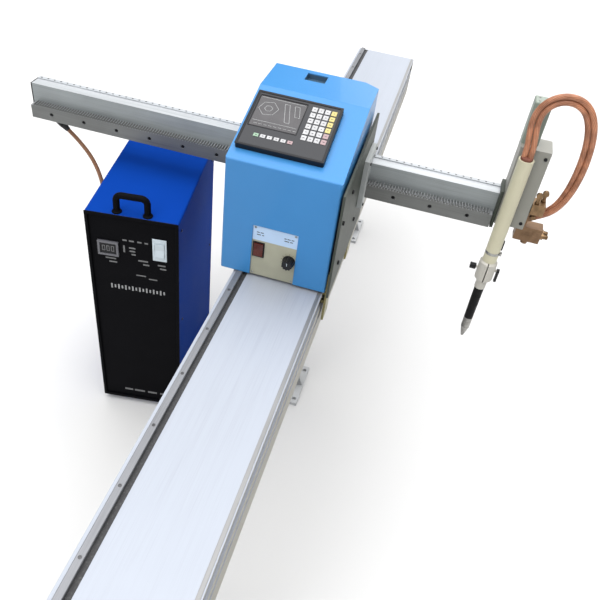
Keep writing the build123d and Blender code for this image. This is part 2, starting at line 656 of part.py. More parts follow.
for bracket_y, name in zip(bracket_ys, ("guide_roller_front", "guide_roller_back")):
    with BuildPart() as guide_roller:
        with Locations((ROLLER_X, bracket_y, TRACK_Z)):
            Cylinder(ROLLER_RADIUS, ROLLER_LENGTH)
            Cylinder(ROLLER_PIN + ROLL_GAP, ROLLER_LENGTH, mode=Mode.SUBTRACT)
    save(guide_roller, name)

# Side plate on the torch side, with the beam's window
with BuildPart() as side_plate:
    plate_front = COVER_FRONT - SIDE_PLATE_FRONT
    plate_back = COVER_BACK - SIDE_PLATE_BACK
    with BuildSketch(Plane.YZ.offset(PLATE_X)):
        with BuildLine():
            Polyline(
                (plate_front, PLATE_BOTTOM),
                (plate_front, PLATE_TOP),
                (plate_back - SIDE_PLATE_CREASE, PLATE_TOP + SIDE_PLATE_RISE),
                (plate_back, PLATE_TOP + SIDE_PLATE_RISE),
                (plate_back, PLATE_BOTTOM),
                close=True,
            )
        make_face()
        with Locations(((WINDOW_FRONT + WINDOW_BACK) / 2, BEAM_MID)):
            Rectangle(*beam_opening, mode=Mode.SUBTRACT)
    extrude(amount=SIDE_PLATE)
save(side_plate, "side_plate")

# Console: a dark case on the slope, a screen in its pocket and raised membrane keys
with BuildPart() as console_case:
    with BuildSketch(CONSOLE_PLANE):
        RectangleRounded(*CONSOLE_SIZE, CONSOLE_EDGE)
    extrude(amount=CONSOLE_THICKNESS)
    with BuildSketch(CONSOLE_PLANE.offset(CONSOLE_THICKNESS)):
        with Locations(SCREEN_CENTRE):
            Rectangle(*SCREEN_SIZE)
    extrude(amount=-SCREEN_DEPTH, mode=Mode.SUBTRACT)
save(console_case, "console_case")

with BuildPart() as console_screen:
    with BuildSketch(CONSOLE_PLANE.offset(CONSOLE_THICKNESS - SCREEN_DEPTH)):
        with Locations(SCREEN_CENTRE):
            Rectangle(*SCREEN_SIZE)
    extrude(amount=SCREEN_GLASS)
save(console_screen, "console_screen")

with BuildPart() as console_keys:
    with BuildSketch(CONSOLE_PLANE.offset(CONSOLE_THICKNESS)):
        with Locations(KEY_CENTRE):
            with GridLocations(*KEY_PITCH, *KEY_COUNT):
                Rectangle(*KEY_SIZE)
        with Locations(SOFT_KEY_CENTRE):
            with GridLocations(SOFT_KEY_PITCH, SOFT_KEY_PITCH, SOFT_KEY_COUNT, 1):
                Rectangle(*SOFT_KEY_SIZE)
    extrude(amount=KEY_PROUD)
save(console_keys, "console_keys")

# Switch panel behind the cut-out, with a rocker switch and a fluted, skirted knob
rocker_hole = (ROCKER_SIZE[0] + 2 * RUN_GAP, ROCKER_SIZE[1] + 2 * ROCKER_GAP)
with BuildPart() as switch_panel:
    with BuildSketch(Plane.XZ.offset(-PANEL_Y)):
        with Locations((SWITCH_CUT_X, COVER_BOTTOM)):
            Rectangle(
                SWITCH_CUT_WIDTH + 2 * SWITCH_PANEL_MARGIN, SWITCH_CUT_HEIGHT + SWITCH_PANEL_MARGIN,
                align=(Align.CENTER, Align.MIN),
            )
        with Locations(ROCKER_PLACE):
            Rectangle(*rocker_hole, mode=Mode.SUBTRACT)
    extrude(amount=-SWITCH_PANEL)
save(switch_panel, "switch_panel")


def rocker_profile(height, proud, dish, back):
    """Side view of a rocker about its pivot: a dished face in front and a narrower heel behind."""
    Polyline(
        (-proud, -height / 2), (-proud + dish, 0), (-proud, height / 2),
        (0, height / 2), (back, height / 4), (back, -height / 4), (0, -height / 2),
        close=True,
    )


with BuildPart() as main_switch:
    rocker_origin = (ROCKER_PLACE[0], PANEL_Y, ROCKER_PLACE[1])
    with BuildSketch(Plane(origin=rocker_origin, x_dir=(0, 1, 0), z_dir=(1, 0, 0))):
        with BuildLine():
            rocker_profile(ROCKER_SIZE[1], ROCKER_PROUD, ROCKER_DISH, ROCKER_BACK)
        make_face()
    extrude(amount=ROCKER_SIZE[0] / 2, both=True)
save(main_switch, "main_switch")

with BuildPart() as speed_knob:
    with BuildSketch(Plane.XZ.offset(-PANEL_Y + ROLL_GAP)):
        with Locations(KNOB_PLACE):
            Circle(KNOB_SKIRT[0])
    extrude(amount=KNOB_SKIRT[1])
    with BuildSketch(Plane.XZ.offset(-PANEL_Y + ROLL_GAP + KNOB_SKIRT[1])):
        with Locations(KNOB_PLACE):
            Circle(KNOB_RADIUS)
            with PolarLocations(KNOB_RADIUS, KNOB_FLUTES):
                Circle(KNOB_FLUTE_RADIUS, mode=Mode.SUBTRACT)
    extrude(amount=KNOB_LENGTH - KNOB_SKIRT[1], taper=KNOB_TAPER)
save(speed_knob, "speed_knob")

# Rail drive: a round motor on its foot and a webbed wheel on the shaft
with BuildPart() as drive_motor:
    motor_x = (WHEEL_WIDTH + WHEEL_SLOT_GAP) / 2
    with Locations((motor_x, WHEEL_Y, BASE_TOP)):
        Box(
            DRIVE_MOTOR_FOOT, DRIVE_MOTOR, WHEEL_Z - BASE_TOP + DRIVE_MOTOR / 2,
            align=(Align.MIN, Align.CENTER, Align.MIN),
        )
    with BuildSketch(Plane.YZ.offset(motor_x + DRIVE_MOTOR_FOOT)):
        with Locations((WHEEL_Y, WHEEL_Z)):
            Circle(DRIVE_MOTOR / 2)
    extrude(amount=DRIVE_MOTOR_LENGTH - DRIVE_MOTOR_FOOT)
    chamfer(drive_motor.faces().sort_by(Axis.X)[-1].edges(), DRIVE_MOTOR_CHAMFER)
    with BuildSketch(Plane.YZ.offset(-WHEEL_WIDTH / 2)):
        with Locations((WHEEL_Y, WHEEL_Z)):
            Circle(MOTOR_SHAFT)
    extrude(amount=WHEEL_WIDTH + WHEEL_SLOT_GAP)
save(drive_motor, "drive_motor")

with BuildPart() as drive_wheel:
    with BuildSketch(Plane(origin=(0, WHEEL_Y, WHEEL_Z), x_dir=(1, 0, 0), z_dir=(0, -1, 0))):
        with Locations((0, WHEEL_RADIUS - WHEEL_RIM / 2)):
            Rectangle(WHEEL_WIDTH, WHEEL_RIM)
        with Locations((0, WHEEL_RADIUS / 2)):
            Rectangle(WHEEL_WEB, WHEEL_RADIUS)
        with Locations((0, WHEEL_HUB / 2)):
            Rectangle(WHEEL_WIDTH, WHEEL_HUB)
        with Locations((0, 0)):
            Rectangle(WHEEL_WIDTH, 2 * (MOTOR_SHAFT + ROLL_GAP), mode=Mode.SUBTRACT)
    revolve(axis=Axis((0, WHEEL_Y, WHEEL_Z), (1, 0, 0)))
save(drive_wheel, "drive_wheel")

with BuildPart() as motor_driver:
    with Locations((*DRIVER_PLACE, BASE_TOP)):
        Box(*DRIVER_SIZE, align=(Align.CENTER, Align.CENTER, Align.MIN))
save(motor_driver, "motor_driver")

# Beam: a hollow extrusion with a groove along its front, its rack, top strip and end cap
with BuildPart() as beam:
    with BuildSketch(Plane.YZ.offset(BEAM_LEFT)):
        with Locations((BEAM_WIDTH / 2, BEAM_MID)):
            Rectangle(BEAM_WIDTH, BEAM_HEIGHT)
            hollow = (BEAM_WIDTH - 2 * (BEAM_WALL + BEAM_GROOVE[0]), BEAM_HEIGHT - 2 * BEAM_WALL)
            Rectangle(*hollow, mode=Mode.SUBTRACT)
        with Locations((BEAM_WIDTH - BEAM_GROOVE[0] / 2, BEAM_MID)):
            Rectangle(*BEAM_GROOVE, mode=Mode.SUBTRACT)
    extrude(amount=BEAM_LENGTH)
save(beam, "beam")

with BuildPart() as beam_rack:
    pitch = pi * RACK_MODULE
    root_z = RACK_TOP - (1 + TOOTH_DEDENDUM) * RACK_MODULE
    half_tip = pitch / 4 - RACK_MODULE * tan(radians(PRESSURE_ANGLE))
    half_root = pitch / 4 + TOOTH_DEDENDUM * RACK_MODULE * tan(radians(PRESSURE_ANGLE))
    outline = [(RACK_LEFT, BEAM_BOTTOM), (RACK_LEFT, root_z)]
    for tooth in range(ceil((RACK_LEFT + pitch) / pitch), floor((RACK_RIGHT - pitch) / pitch) + 1):
        middle = tooth * pitch
        outline += [
            (middle - half_root, root_z), (middle - half_tip, RACK_TOP),
            (middle + half_tip, RACK_TOP), (middle + half_root, root_z),
        ]
    outline += [(RACK_RIGHT, root_z), (RACK_RIGHT, BEAM_BOTTOM)]
    with BuildSketch(Plane.XZ):
        with BuildLine():
            Polyline(*outline, close=True)
        make_face()
    extrude(amount=RACK_DEPTH)
    rack_middle = (RACK_LEFT + RACK_RIGHT) / 2
    with BuildSketch(Plane.XZ.offset(RACK_DEPTH)):
        with Locations((rack_middle, BEAM_BOTTOM + RACK_BOLT_RISE)):
            with GridLocations(RACK_BOLT_PITCH, RACK_BOLT_PITCH, RACK_BOLTS, 1):
                Circle(RACK_BOLT_SEAT[0])
    extrude(amount=-RACK_BOLT_SEAT[1], mode=Mode.SUBTRACT)
save(beam_rack, "beam_rack")

with BuildPart() as beam_strip:
    with Locations((BEAM_LEFT, BEAM_WIDTH, BEAM_TOP)):
        Box(BEAM_LENGTH, STRIP_WIDTH, STRIP_PROUD, align=(Align.MIN, Align.MAX, Align.MIN))
save(beam_strip, "beam_strip")

with BuildPart() as beam_cap:
    with Locations((BEAM_LEFT, BEAM_WIDTH / 2, BEAM_MID)):
        Box(BEAM_CAP, BEAM_WIDTH, BEAM_HEIGHT, align=(Align.MAX, Align.CENTER, Align.CENTER))
    chamfer(beam_cap.edges().group_by(Axis.X)[0], CAP_CHAMFER)
save(beam_cap, "beam_cap")

# Beam drive: the motor on its bracket and a pinion above the rack
bracket_back = -RACK_DEPTH - PINION_GAP
with BuildPart() as motor_bracket:
    with BuildSketch(Plane.XZ.offset(-bracket_back)):
        with Locations((0, BASE_TOP)):
            bracket_height = PINION_Z + BEAM_MOTOR / 2 - BASE_TOP
            Rectangle(MOTOR_BRACKET_WIDTH, bracket_height, align=(Align.CENTER, Align.MIN))
        with Locations((0, PINION_Z)):
            Circle(MOTOR_SHAFT + PINION_GAP, mode=Mode.SUBTRACT)
    extrude(amount=MOTOR_BRACKET)
save(motor_bracket, "motor_bracket")

with BuildPart() as beam_motor:
    waist = BEAM_MOTOR - BEAM_MOTOR_WAIST
    motor_face = -bracket_back + MOTOR_BRACKET
    bell_face = motor_face + BEAM_MOTOR_LENGTH - BEAM_MOTOR_BELL
    for face, depth in ((motor_face, BEAM_MOTOR_FLANGE), (bell_face, BEAM_MOTOR_BELL)):
        with BuildSketch(Plane.XZ.offset(face)):
            with Locations((0, PINION_Z)):
                RectangleRounded(BEAM_MOTOR, BEAM_MOTOR, BEAM_MOTOR_EDGE)
        extrude(amount=depth)
    with BuildSketch(Plane.XZ.offset(motor_face + BEAM_MOTOR_FLANGE)) as stack:
        with Locations((0, PINION_Z)):
            Rectangle(waist, waist)
        chamfer(stack.vertices(), BEAM_MOTOR_CUT)
    extrude(amount=bell_face - motor_face - BEAM_MOTOR_FLANGE)
    with BuildSketch(Plane.XZ.offset(PINION_GAP)):
        with Locations((0, PINION_Z)):
            Circle(MOTOR_SHAFT)
    extrude(amount=MOTOR_BRACKET + RACK_DEPTH)
save(beam_motor, "beam_motor")

with BuildPart() as beam_pinion:
    flank = involute_flank(PINION_TEETH, RACK_MODULE, RACK_BACKLASH)
    profile = []
    for tooth in range(PINION_TEETH):
        # a gap between two teeth points at the rack's middle tooth
        middle = -pi / 2 + (tooth + 0.5) * 2 * pi / PINION_TEETH
        half = [(middle - angle, radius) for angle, radius in flank]
        half += [(middle + angle, radius) for angle, radius in reversed(flank)]
        profile += [(radius * cos(angle), PINION_Z + radius * sin(angle)) for angle, radius in half]
    with BuildSketch(Plane.XZ.offset(PINION_GAP)):
        with BuildLine():
            Polyline(*profile, close=True)
        make_face()
        with Locations((0, PINION_Z)):
            Circle(MOTOR_SHAFT + ROLL_GAP, mode=Mode.SUBTRACT)
    extrude(amount=PINION_WIDTH)
save(beam_pinion, "beam_pinion")

# Guide blocks round the beam, one outside the side plate and one inside the far wall
for block_x, name in ((PLATE_OUT, "beam_guide_right"), (COVER_LEFT + COVER_WALL, "beam_guide_left")):
    with BuildPart() as beam_guide:
        with BuildSketch(Plane.YZ.offset(block_x)):
            with Locations(((WINDOW_FRONT + WINDOW_BACK) / 2, BEAM_MID)):
                Rectangle(beam_opening[0] + 2 * GUIDE_BLOCK_MARGIN, beam_opening[1] + 2 * GUIDE_BLOCK_MARGIN)
            with Locations((BEAM_WIDTH / 2, BEAM_MID + STRIP_PROUD / 2)):
                Rectangle(
                    BEAM_WIDTH + 2 * RUN_GAP, BEAM_HEIGHT + STRIP_PROUD + 2 * RUN_GAP, mode=Mode.SUBTRACT
                )
            with Locations((-RACK_DEPTH / 2, BEAM_BOTTOM + RACK_HEIGHT / 2)):
                Rectangle(RACK_DEPTH + 2 * RUN_GAP, RACK_HEIGHT + 2 * RUN_GAP, mode=Mode.SUBTRACT)
        extrude(amount=GUIDE_BLOCK)
        chamfer(beam_guide.faces().sort_by(Axis.X)[-1].outer_wire().edges(), GUIDE_BLOCK_CHAMFER)
    save(beam_guide, name)

# Lifter at the beam's end: mount plate, housing with a slot, motor column and lift screw
with BuildPart() as lifter_mount:
    with BuildSketch(Plane.YZ.offset(BEAM_RIGHT)):
        with Locations((LIFTER_FRONT, BEAM_BOTTOM)):
            Rectangle(LIFTER_DEPTH, BEAM_HEIGHT + LIFTER_PLATE_MARGIN, align=(Align.MIN, Align.MIN))
    extrude(amount=LIFTER_PLATE)
save(lifter_mount, "lifter_mount")

with BuildPart() as lifter_body:
    with Locations((LIFTER_LEFT, LIFTER_FRONT, LIFTER_BOTTOM)):
        Box(LIFTER_WIDTH, LIFTER_DEPTH, LIFTER_HEIGHT, align=(Align.MIN, Align.MIN, Align.MIN))
    fillet(lifter_body.edges().filter_by(Axis.Z), LIFTER_BEND)
    with Locations((LIFTER_LEFT + LIFTER_WALL, LIFTER_FRONT + LIFTER_WALL, LIFTER_BOTTOM + LIFTER_WALL)):
        Box(
            LIFTER_WIDTH - 2 * LIFTER_WALL, LIFTER_DEPTH - 2 * LIFTER_WALL, LIFTER_HEIGHT - 2 * LIFTER_WALL,
            align=(Align.MIN, Align.MIN, Align.MIN), mode=Mode.SUBTRACT,
        )
    with Locations((TORCH_X, LIFTER_FRONT, LIFTER_BOTTOM + LIFTER_HEIGHT / 2)):
        Box(LIFTER_SLOT, 3 * LIFTER_WALL, LIFTER_SLOT_HEIGHT, mode=Mode.SUBTRACT)
save(lifter_body, "lifter_body")

with BuildPart() as lifter_column:
    with BuildSketch(Plane.XY.offset(LIFTER_TOP)):
        with Locations((TORCH_X, LIFTER_BACK - COLUMN_INSET - COLUMN_SIZE[1] / 2)):
            RectangleRounded(*COLUMN_SIZE, LIFTER_BEND)
    extrude(amount=COLUMN_HEIGHT)
    chamfer(lifter_column.faces().sort_by(Axis.Z)[-1].edges(), COLUMN_CHAMFER)
save(lifter_column, "lifter_column")

with BuildPart() as lift_screw:
    with Locations((TORCH_X, SCREW_Y, LIFTER_BOTTOM + LIFTER_WALL + ROLL_GAP)):
        Cylinder(
            SCREW_RADIUS, LIFTER_HEIGHT - 2 * (LIFTER_WALL + ROLL_GAP),
            align=(Align.CENTER, Align.CENTER, Align.MIN),
        )
save(lift_screw, "lift_screw")

with BuildPart() as gas_manifold:
    with Locations((LIFTER_RIGHT, 0, MANIFOLD_Z)):
        Box(*MANIFOLD_SIZE, align=(Align.MIN, Align.CENTER, Align.CENTER))
    chamfer(gas_manifold.faces().sort_by(Axis.X)[-1].edges(), MANIFOLD_CHAMFER)
    for valve_x, valve_y in VALVE_PLACES:
        with Locations((LIFTER_RIGHT + valve_x, valve_y, MANIFOLD_Z + MANIFOLD_SIZE[2] / 2)):
            Cylinder(VALVE_STEM, VALVE_STEM_HEIGHT, align=(Align.CENTER, Align.CENTER, Align.MIN))
save(gas_manifold, "gas_manifold")

for (valve_x, valve_y), name in zip(VALVE_PLACES, ("valve_handle_front", "valve_handle_back")):
    valve_z = MANIFOLD_Z + MANIFOLD_SIZE[2] / 2 + VALVE_STEM_HEIGHT + ROLL_GAP
    with BuildPart() as valve_handle:
        with BuildSketch(Plane.XZ.offset(-valve_y)):
            with Locations((LIFTER_RIGHT + valve_x, valve_z)):
                Rectangle(VALVE_WIDTH, VALVE_HEIGHT, align=(Align.CENTER, Align.MIN))
            with Locations((LIFTER_RIGHT + valve_x, valve_z + VALVE_HEIGHT)):
                Circle(VALVE_WIDTH)
        extrude(amount=VALVE_WIDTH / 2, both=True)
    save(valve_handle, name)

with BuildPart() as hose_block:
    with Locations((HOSE_BLOCK_X, SCREW_Y, LIFTER_BOTTOM)):
        Box(*HOSE_BLOCK, align=(Align.CENTER, Align.CENTER, Align.MAX))
    with Locations((HOSE_BLOCK_X, SCREW_Y, LIFTER_BOTTOM - HOSE_BLOCK[2])):
        Cylinder(*HOSE_COLLAR, align=(Align.CENTER, Align.CENTER, Align.MAX))
    with Locations((LIFTER_RIGHT, SCREW_Y, LIFTER_BOTTOM)):
        Box(PORT_PLATE[0], HOSE_BLOCK[1], PORT_PLATE[1], align=(Align.MIN, Align.CENTER, Align.MIN))
    with BuildSketch(PORT_PLANE):
        with GridLocations(HOSE_PAIR, HOSE_PAIR, 2, 1):
            Circle(PORT_RADIUS)
    extrude(amount=PORT_REACH)
save(hose_block, "hose_block")

# Torch: the tube on its carrier, the clamp with its knob and lever, the insulator and the nozzle
with BuildPart() as torch_tube:
    with BuildSketch(TORCH_PLANE):
        with Locations((0, TUBE_BOTTOM)):
            Rectangle(TUBE_RADIUS, TUBE_TOP - TUBE_BOTTOM, align=(Align.MIN, Align.MIN))
        with Locations((0, TUBE_TOP)):
            Rectangle(TUBE_BORE, TUBE_MOUTH, align=(Align.MIN, Align.MAX), mode=Mode.SUBTRACT)
    revolve(axis=Axis((TORCH_X, TORCH_Y, 0), (0, 0, 1)))
save(torch_tube, "torch_tube")

with BuildPart() as torch_carrier:
    with Locations((TORCH_X, TORCH_Y, CARRIER_Z)):
        Box(
            CARRIER_WIDTH, SCREW_Y - TORCH_Y + CARRIER_BACK / 2, CARRIER_HEIGHT,
            align=(Align.CENTER, Align.MIN, Align.CENTER),
        )
        Cylinder(TUBE_RADIUS, CARRIER_HEIGHT, mode=Mode.SUBTRACT)
    with Locations((TORCH_X, SCREW_Y, CARRIER_Z)):
        Box(CARRIER_BACK, CARRIER_BACK, CARRIER_HEIGHT)
        Cylinder(SCREW_RADIUS + ROLL_GAP, CARRIER_HEIGHT, mode=Mode.SUBTRACT)
save(torch_carrier, "torch_carrier")

with BuildPart() as torch_clamp:
    flare = CLAMP_RADIUS - TUBE_RADIUS
    with BuildSketch(TORCH_PLANE):
        with BuildLine():
            Polyline(
                (0, NECK_BOTTOM), (NECK_RADIUS, NECK_BOTTOM), (NECK_RADIUS, CLAMP_BOTTOM - flare),
                (CLAMP_RADIUS, CLAMP_BOTTOM + flare), (CLAMP_RADIUS, TUBE_BOTTOM - flare),
                (TUBE_RADIUS, TUBE_BOTTOM), (0, TUBE_BOTTOM),
                close=True,
            )
        make_face()
    revolve(axis=Axis((TORCH_X, TORCH_Y, 0), (0, 0, 1)))
    with Locations((TORCH_X, TORCH_Y, CLAMP_CONTROL_Z)):
        Cylinder(CLAMP_STUD, 2 * (CLAMP_RADIUS + CLAMP_STUD), rotation=(0, 90, 0))
    with Locations((TORCH_X, TORCH_Y - TUBE_RADIUS, TUBE_BOTTOM)):
        Box(
            CLAMP_SLIT, TUBE_RADIUS, TUBE_BOTTOM - CLAMP_BOTTOM,
            align=(Align.CENTER, Align.CENTER, Align.MAX), mode=Mode.SUBTRACT,
        )
save(torch_clamp, "torch_clamp")

control_reach = CLAMP_RADIUS + CLAMP_STUD + CONTROL_GAP
with BuildPart() as clamp_knob:
    with BuildSketch(Plane.YZ.offset(TORCH_X - control_reach)):
        with Locations((TORCH_Y, CLAMP_CONTROL_Z)):
            RegularPolygon(CLAMP_KNOB_RADIUS, CLAMP_KNOB_SIDES)
    extrude(amount=-CLAMP_KNOB_LENGTH)
save(clamp_knob, "clamp_knob")

with BuildPart() as clamp_lever:
    with BuildSketch(Plane.YZ.offset(TORCH_X + control_reach)):
        with Locations((TORCH_Y, CLAMP_CONTROL_Z)):
            Circle(LEVER_WIDTH / 2 + CLAMP_STUD / 2)
            Rectangle(LEVER_WIDTH, LEVER_LENGTH, align=(Align.CENTER, Align.MAX))
    extrude(amount=LEVER_THICKNESS)
save(clamp_lever, "clamp_lever")

with BuildPart() as torch_insulator:
    groove_pitch = INSULATOR_LENGTH / (INSULATOR_GROOVES + 1)
    with BuildSketch(TORCH_PLANE):
        with BuildLine():
            Polyline(
                (0, INSULATOR_BOTTOM), (NOZZLE_RADIUS, INSULATOR_BOTTOM),
                (INSULATOR_RADIUS, NECK_BOTTOM), (0, NECK_BOTTOM),
                close=True,
            )
        make_face()
        with Locations((INSULATOR_RADIUS - INSULATOR_GROOVE[0], (NECK_BOTTOM + INSULATOR_BOTTOM) / 2)):
            with GridLocations(groove_pitch, groove_pitch, 1, INSULATOR_GROOVES):
                Rectangle(
                    INSULATOR_RADIUS, INSULATOR_GROOVE[1], align=(Align.MIN, Align.CENTER), mode=Mode.SUBTRACT
                )
    revolve(axis=Axis((TORCH_X, TORCH_Y, 0), (0, 0, 1)))
save(torch_insulator, "torch_insulator")

with BuildPart() as torch_nozzle:
    nozzle_waist = NOZZLE_BOTTOM + (INSULATOR_BOTTOM - NOZZLE_BOTTOM) / 2
    with BuildSketch(TORCH_PLANE):
        with BuildLine():
            Polyline(
                (NOZZLE_BORE, NOZZLE_BOTTOM), (NOZZLE_TIP, NOZZLE_BOTTOM), (NOZZLE_RADIUS, nozzle_waist),
                (NOZZLE_RADIUS, INSULATOR_BOTTOM), (NOZZLE_BORE, INSULATOR_BOTTOM),
                close=True,
            )
        make_face()
    revolve(axis=Axis((TORCH_X, TORCH_Y, 0), (0, 0, 1)))
save(torch_nozzle, "torch_nozzle")

for name, route in HOSE_ROUTES.items():
    save(tube_along(route, HOSE_DIAMETER, name), name)

# Supply lead: an elbow gland under the beam, the lead and its connector on the floor
with BuildPart() as lead_gland:
    with Locations((LEAD_X, BEAM_WIDTH / 2, BEAM_BOTTOM)):
        Cylinder(*GLAND_HUB, align=(Align.CENTER, Align.CENTER, Align.MAX))
    with Locations(GLAND_PLANE.origin):
        Sphere(GLAND_RADIUS)
    with BuildSketch(GLAND_PLANE):
        Circle(GLAND_RADIUS)
    extrude(amount=GLAND_LENGTH)
save(lead_gland, "lead_gland")

save(tube_along(LEAD_ROUTE, LEAD_DIAMETER, "supply_lead"), "supply_lead")

connector_plane = Plane(origin=LEAD_ROUTE[-1], z_dir=Vector(*LEAD_ROUTE[-1]) - Vector(*LEAD_ROUTE[-2]))
with BuildPart() as lead_connector:
    with BuildSketch(connector_plane):
        Circle(CONNECTOR_RADIUS)
    extrude(amount=CONNECTOR_LENGTH)
    with BuildSketch(connector_plane.offset(CONNECTOR_LENGTH)):
        Circle(CONNECTOR_NOSE[0])
    extrude(amount=CONNECTOR_NOSE[1])
save(lead_connector, "lead_connector")

# Power unit: a folded case with louvres and vents, its front panel, meter, switch, handle and feet
unit_width, unit_depth, unit_height = UNIT_SIZE
with BuildPart() as unit_case:
    with BuildSketch(UNIT_PLANE.offset(UNIT_FOOT[1])):
        Rectangle(unit_width, unit_depth, align=(Align.MIN, Align.MIN))
    extrude(amount=unit_height)
    along = unit_case.edges().filter_by(lambda edge: abs((edge % 0.5).dot(UNIT_PLANE.y_dir)) > 0.99)
    fillet(along.group_by(Axis.Z)[-1], UNIT_BEND)
    with BuildSketch(Plane(origin=UNIT_PLANE.origin, x_dir=UNIT_PLANE.x_dir, z_dir=-UNIT_PLANE.y_dir)):
        with Locations((UNIT_WALL, UNIT_FOOT[1] + UNIT_WALL)):
            Rectangle(unit_width - 2 * UNIT_WALL, unit_height - 2 * UNIT_WALL, align=(Align.MIN, Align.MIN))
    extrude(amount=-(unit_depth - UNIT_WALL), mode=Mode.SUBTRACT)
    with BuildSketch(Plane(origin=UNIT_PLANE.origin, x_dir=UNIT_PLANE.y_dir, z_dir=UNIT_PLANE.x_dir)):
        with Locations((unit_depth / 2, UNIT_TOP - UNIT_LOUVRE_DROP)):
            with GridLocations(UNIT_LOUVRE_PITCH, UNIT_LOUVRE_PITCH, 1, UNIT_LOUVRES):
                Rectangle(*UNIT_LOUVRE)
    extrude(amount=2 * UNIT_WALL, mode=Mode.SUBTRACT)
    back_origin = UNIT_PLANE.origin + UNIT_PLANE.y_dir * unit_depth
    with BuildSketch(Plane(origin=back_origin, x_dir=UNIT_PLANE.x_dir, z_dir=-UNIT_PLANE.y_dir)):
        with Locations((unit_width / 2, UNIT_TOP - UNIT_VENT_DROP)):
            with GridLocations(UNIT_LOUVRE_PITCH, UNIT_LOUVRE_PITCH, 1, UNIT_VENTS):
                SlotOverall(*UNIT_VENT)
    extrude(amount=2 * UNIT_WALL, mode=Mode.SUBTRACT)
save(unit_case, "unit_case")

UNIT_FACE = Plane(
    origin=UNIT_PLANE.origin + UNIT_PLANE.y_dir * UNIT_PANEL_RECESS,
    x_dir=UNIT_PLANE.x_dir,
    z_dir=-UNIT_PLANE.y_dir,
)
unit_rocker_hole = (UNIT_SWITCH_SIZE[0] + 2 * RUN_GAP, UNIT_SWITCH_SIZE[1] + 2 * ROCKER_GAP)
with BuildPart() as unit_front:
    with BuildSketch(UNIT_FACE):
        with Locations((UNIT_WALL, UNIT_FOOT[1] + UNIT_WALL)):
            Rectangle(unit_width - 2 * UNIT_WALL, unit_height - 2 * UNIT_WALL, align=(Align.MIN, Align.MIN))
        with Locations(UNIT_SWITCH_PLACE):
            Rectangle(*unit_rocker_hole, mode=Mode.SUBTRACT)
    extrude(amount=-UNIT_PANEL)
save(unit_front, "unit_front")

with BuildPart() as unit_meter:
    with BuildSketch(UNIT_FACE):
        with Locations(METER_PLACE):
            Rectangle(*METER_SIZE)
    extrude(amount=METER_PROUD)
    with BuildSketch(UNIT_FACE.offset(METER_PROUD)):
        with Locations(METER_PLACE):
            Rectangle(METER_SIZE[0] - 2 * METER_WINDOW, METER_SIZE[1] - 2 * METER_WINDOW)
    extrude(amount=-METER_PROUD / 2, mode=Mode.SUBTRACT)
save(unit_meter, "unit_meter")

with BuildPart() as unit_switch:
    switch_origin = UNIT_FACE.from_local_coords((*UNIT_SWITCH_PLACE, 0))
    with BuildSketch(Plane(origin=switch_origin, x_dir=UNIT_PLANE.y_dir, z_dir=UNIT_PLANE.x_dir)):
        with BuildLine():
            rocker_profile(UNIT_SWITCH_SIZE[1], ROCKER_PROUD, ROCKER_DISH, ROCKER_BACK)
        make_face()
    extrude(amount=UNIT_SWITCH_SIZE[0] / 2, both=True)
save(unit_switch, "unit_switch")

with BuildPart() as unit_handle:
    handle_plane = Plane(
        origin=UNIT_PLANE.from_local_coords((*HANDLE_PLACE, UNIT_TOP)),
        x_dir=UNIT_PLANE.x_dir,
        z_dir=-UNIT_PLANE.y_dir,
    )
    with BuildLine(handle_plane) as handle_path:
        FilletPolyline(
            (-HANDLE_SPAN / 2, 0), (-HANDLE_SPAN / 2, HANDLE_HEIGHT - HANDLE_RADIUS),
            (HANDLE_SPAN / 2, HANDLE_HEIGHT - HANDLE_RADIUS), (HANDLE_SPAN / 2, 0),
            radius=HANDLE_BEND,
        )
    with BuildSketch(Plane(origin=handle_path.wires()[0] @ 0, z_dir=(0, 0, 1))):
        Circle(HANDLE_RADIUS)
    sweep()
save(unit_handle, "unit_handle")

with BuildPart() as unit_feet:
    with BuildSketch(UNIT_PLANE):
        with Locations((unit_width / 2, unit_depth / 2)):
            with GridLocations(unit_width - 2 * UNIT_FOOT_INSET, unit_depth - 2 * UNIT_FOOT_INSET, 2, 2):
                Circle(UNIT_FOOT[0])
    extrude(amount=UNIT_FOOT[1])
save(unit_feet, "unit_feet")
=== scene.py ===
"""Finishes and fine pieces of a portable flame cutting machine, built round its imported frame.

X runs along the beam towards the torch, Y along the rail and Z up. All sizes are in metres.
"""

import json
import logging
import math
from contextlib import contextmanager
from dataclasses import dataclass, replace
from enum import Enum
from itertools import cycle
from typing import Any, Callable, ClassVar, Iterable, Iterator, Mapping, Optional, Sequence, Union

import bmesh
import bpy
from mathutils import Matrix, Vector

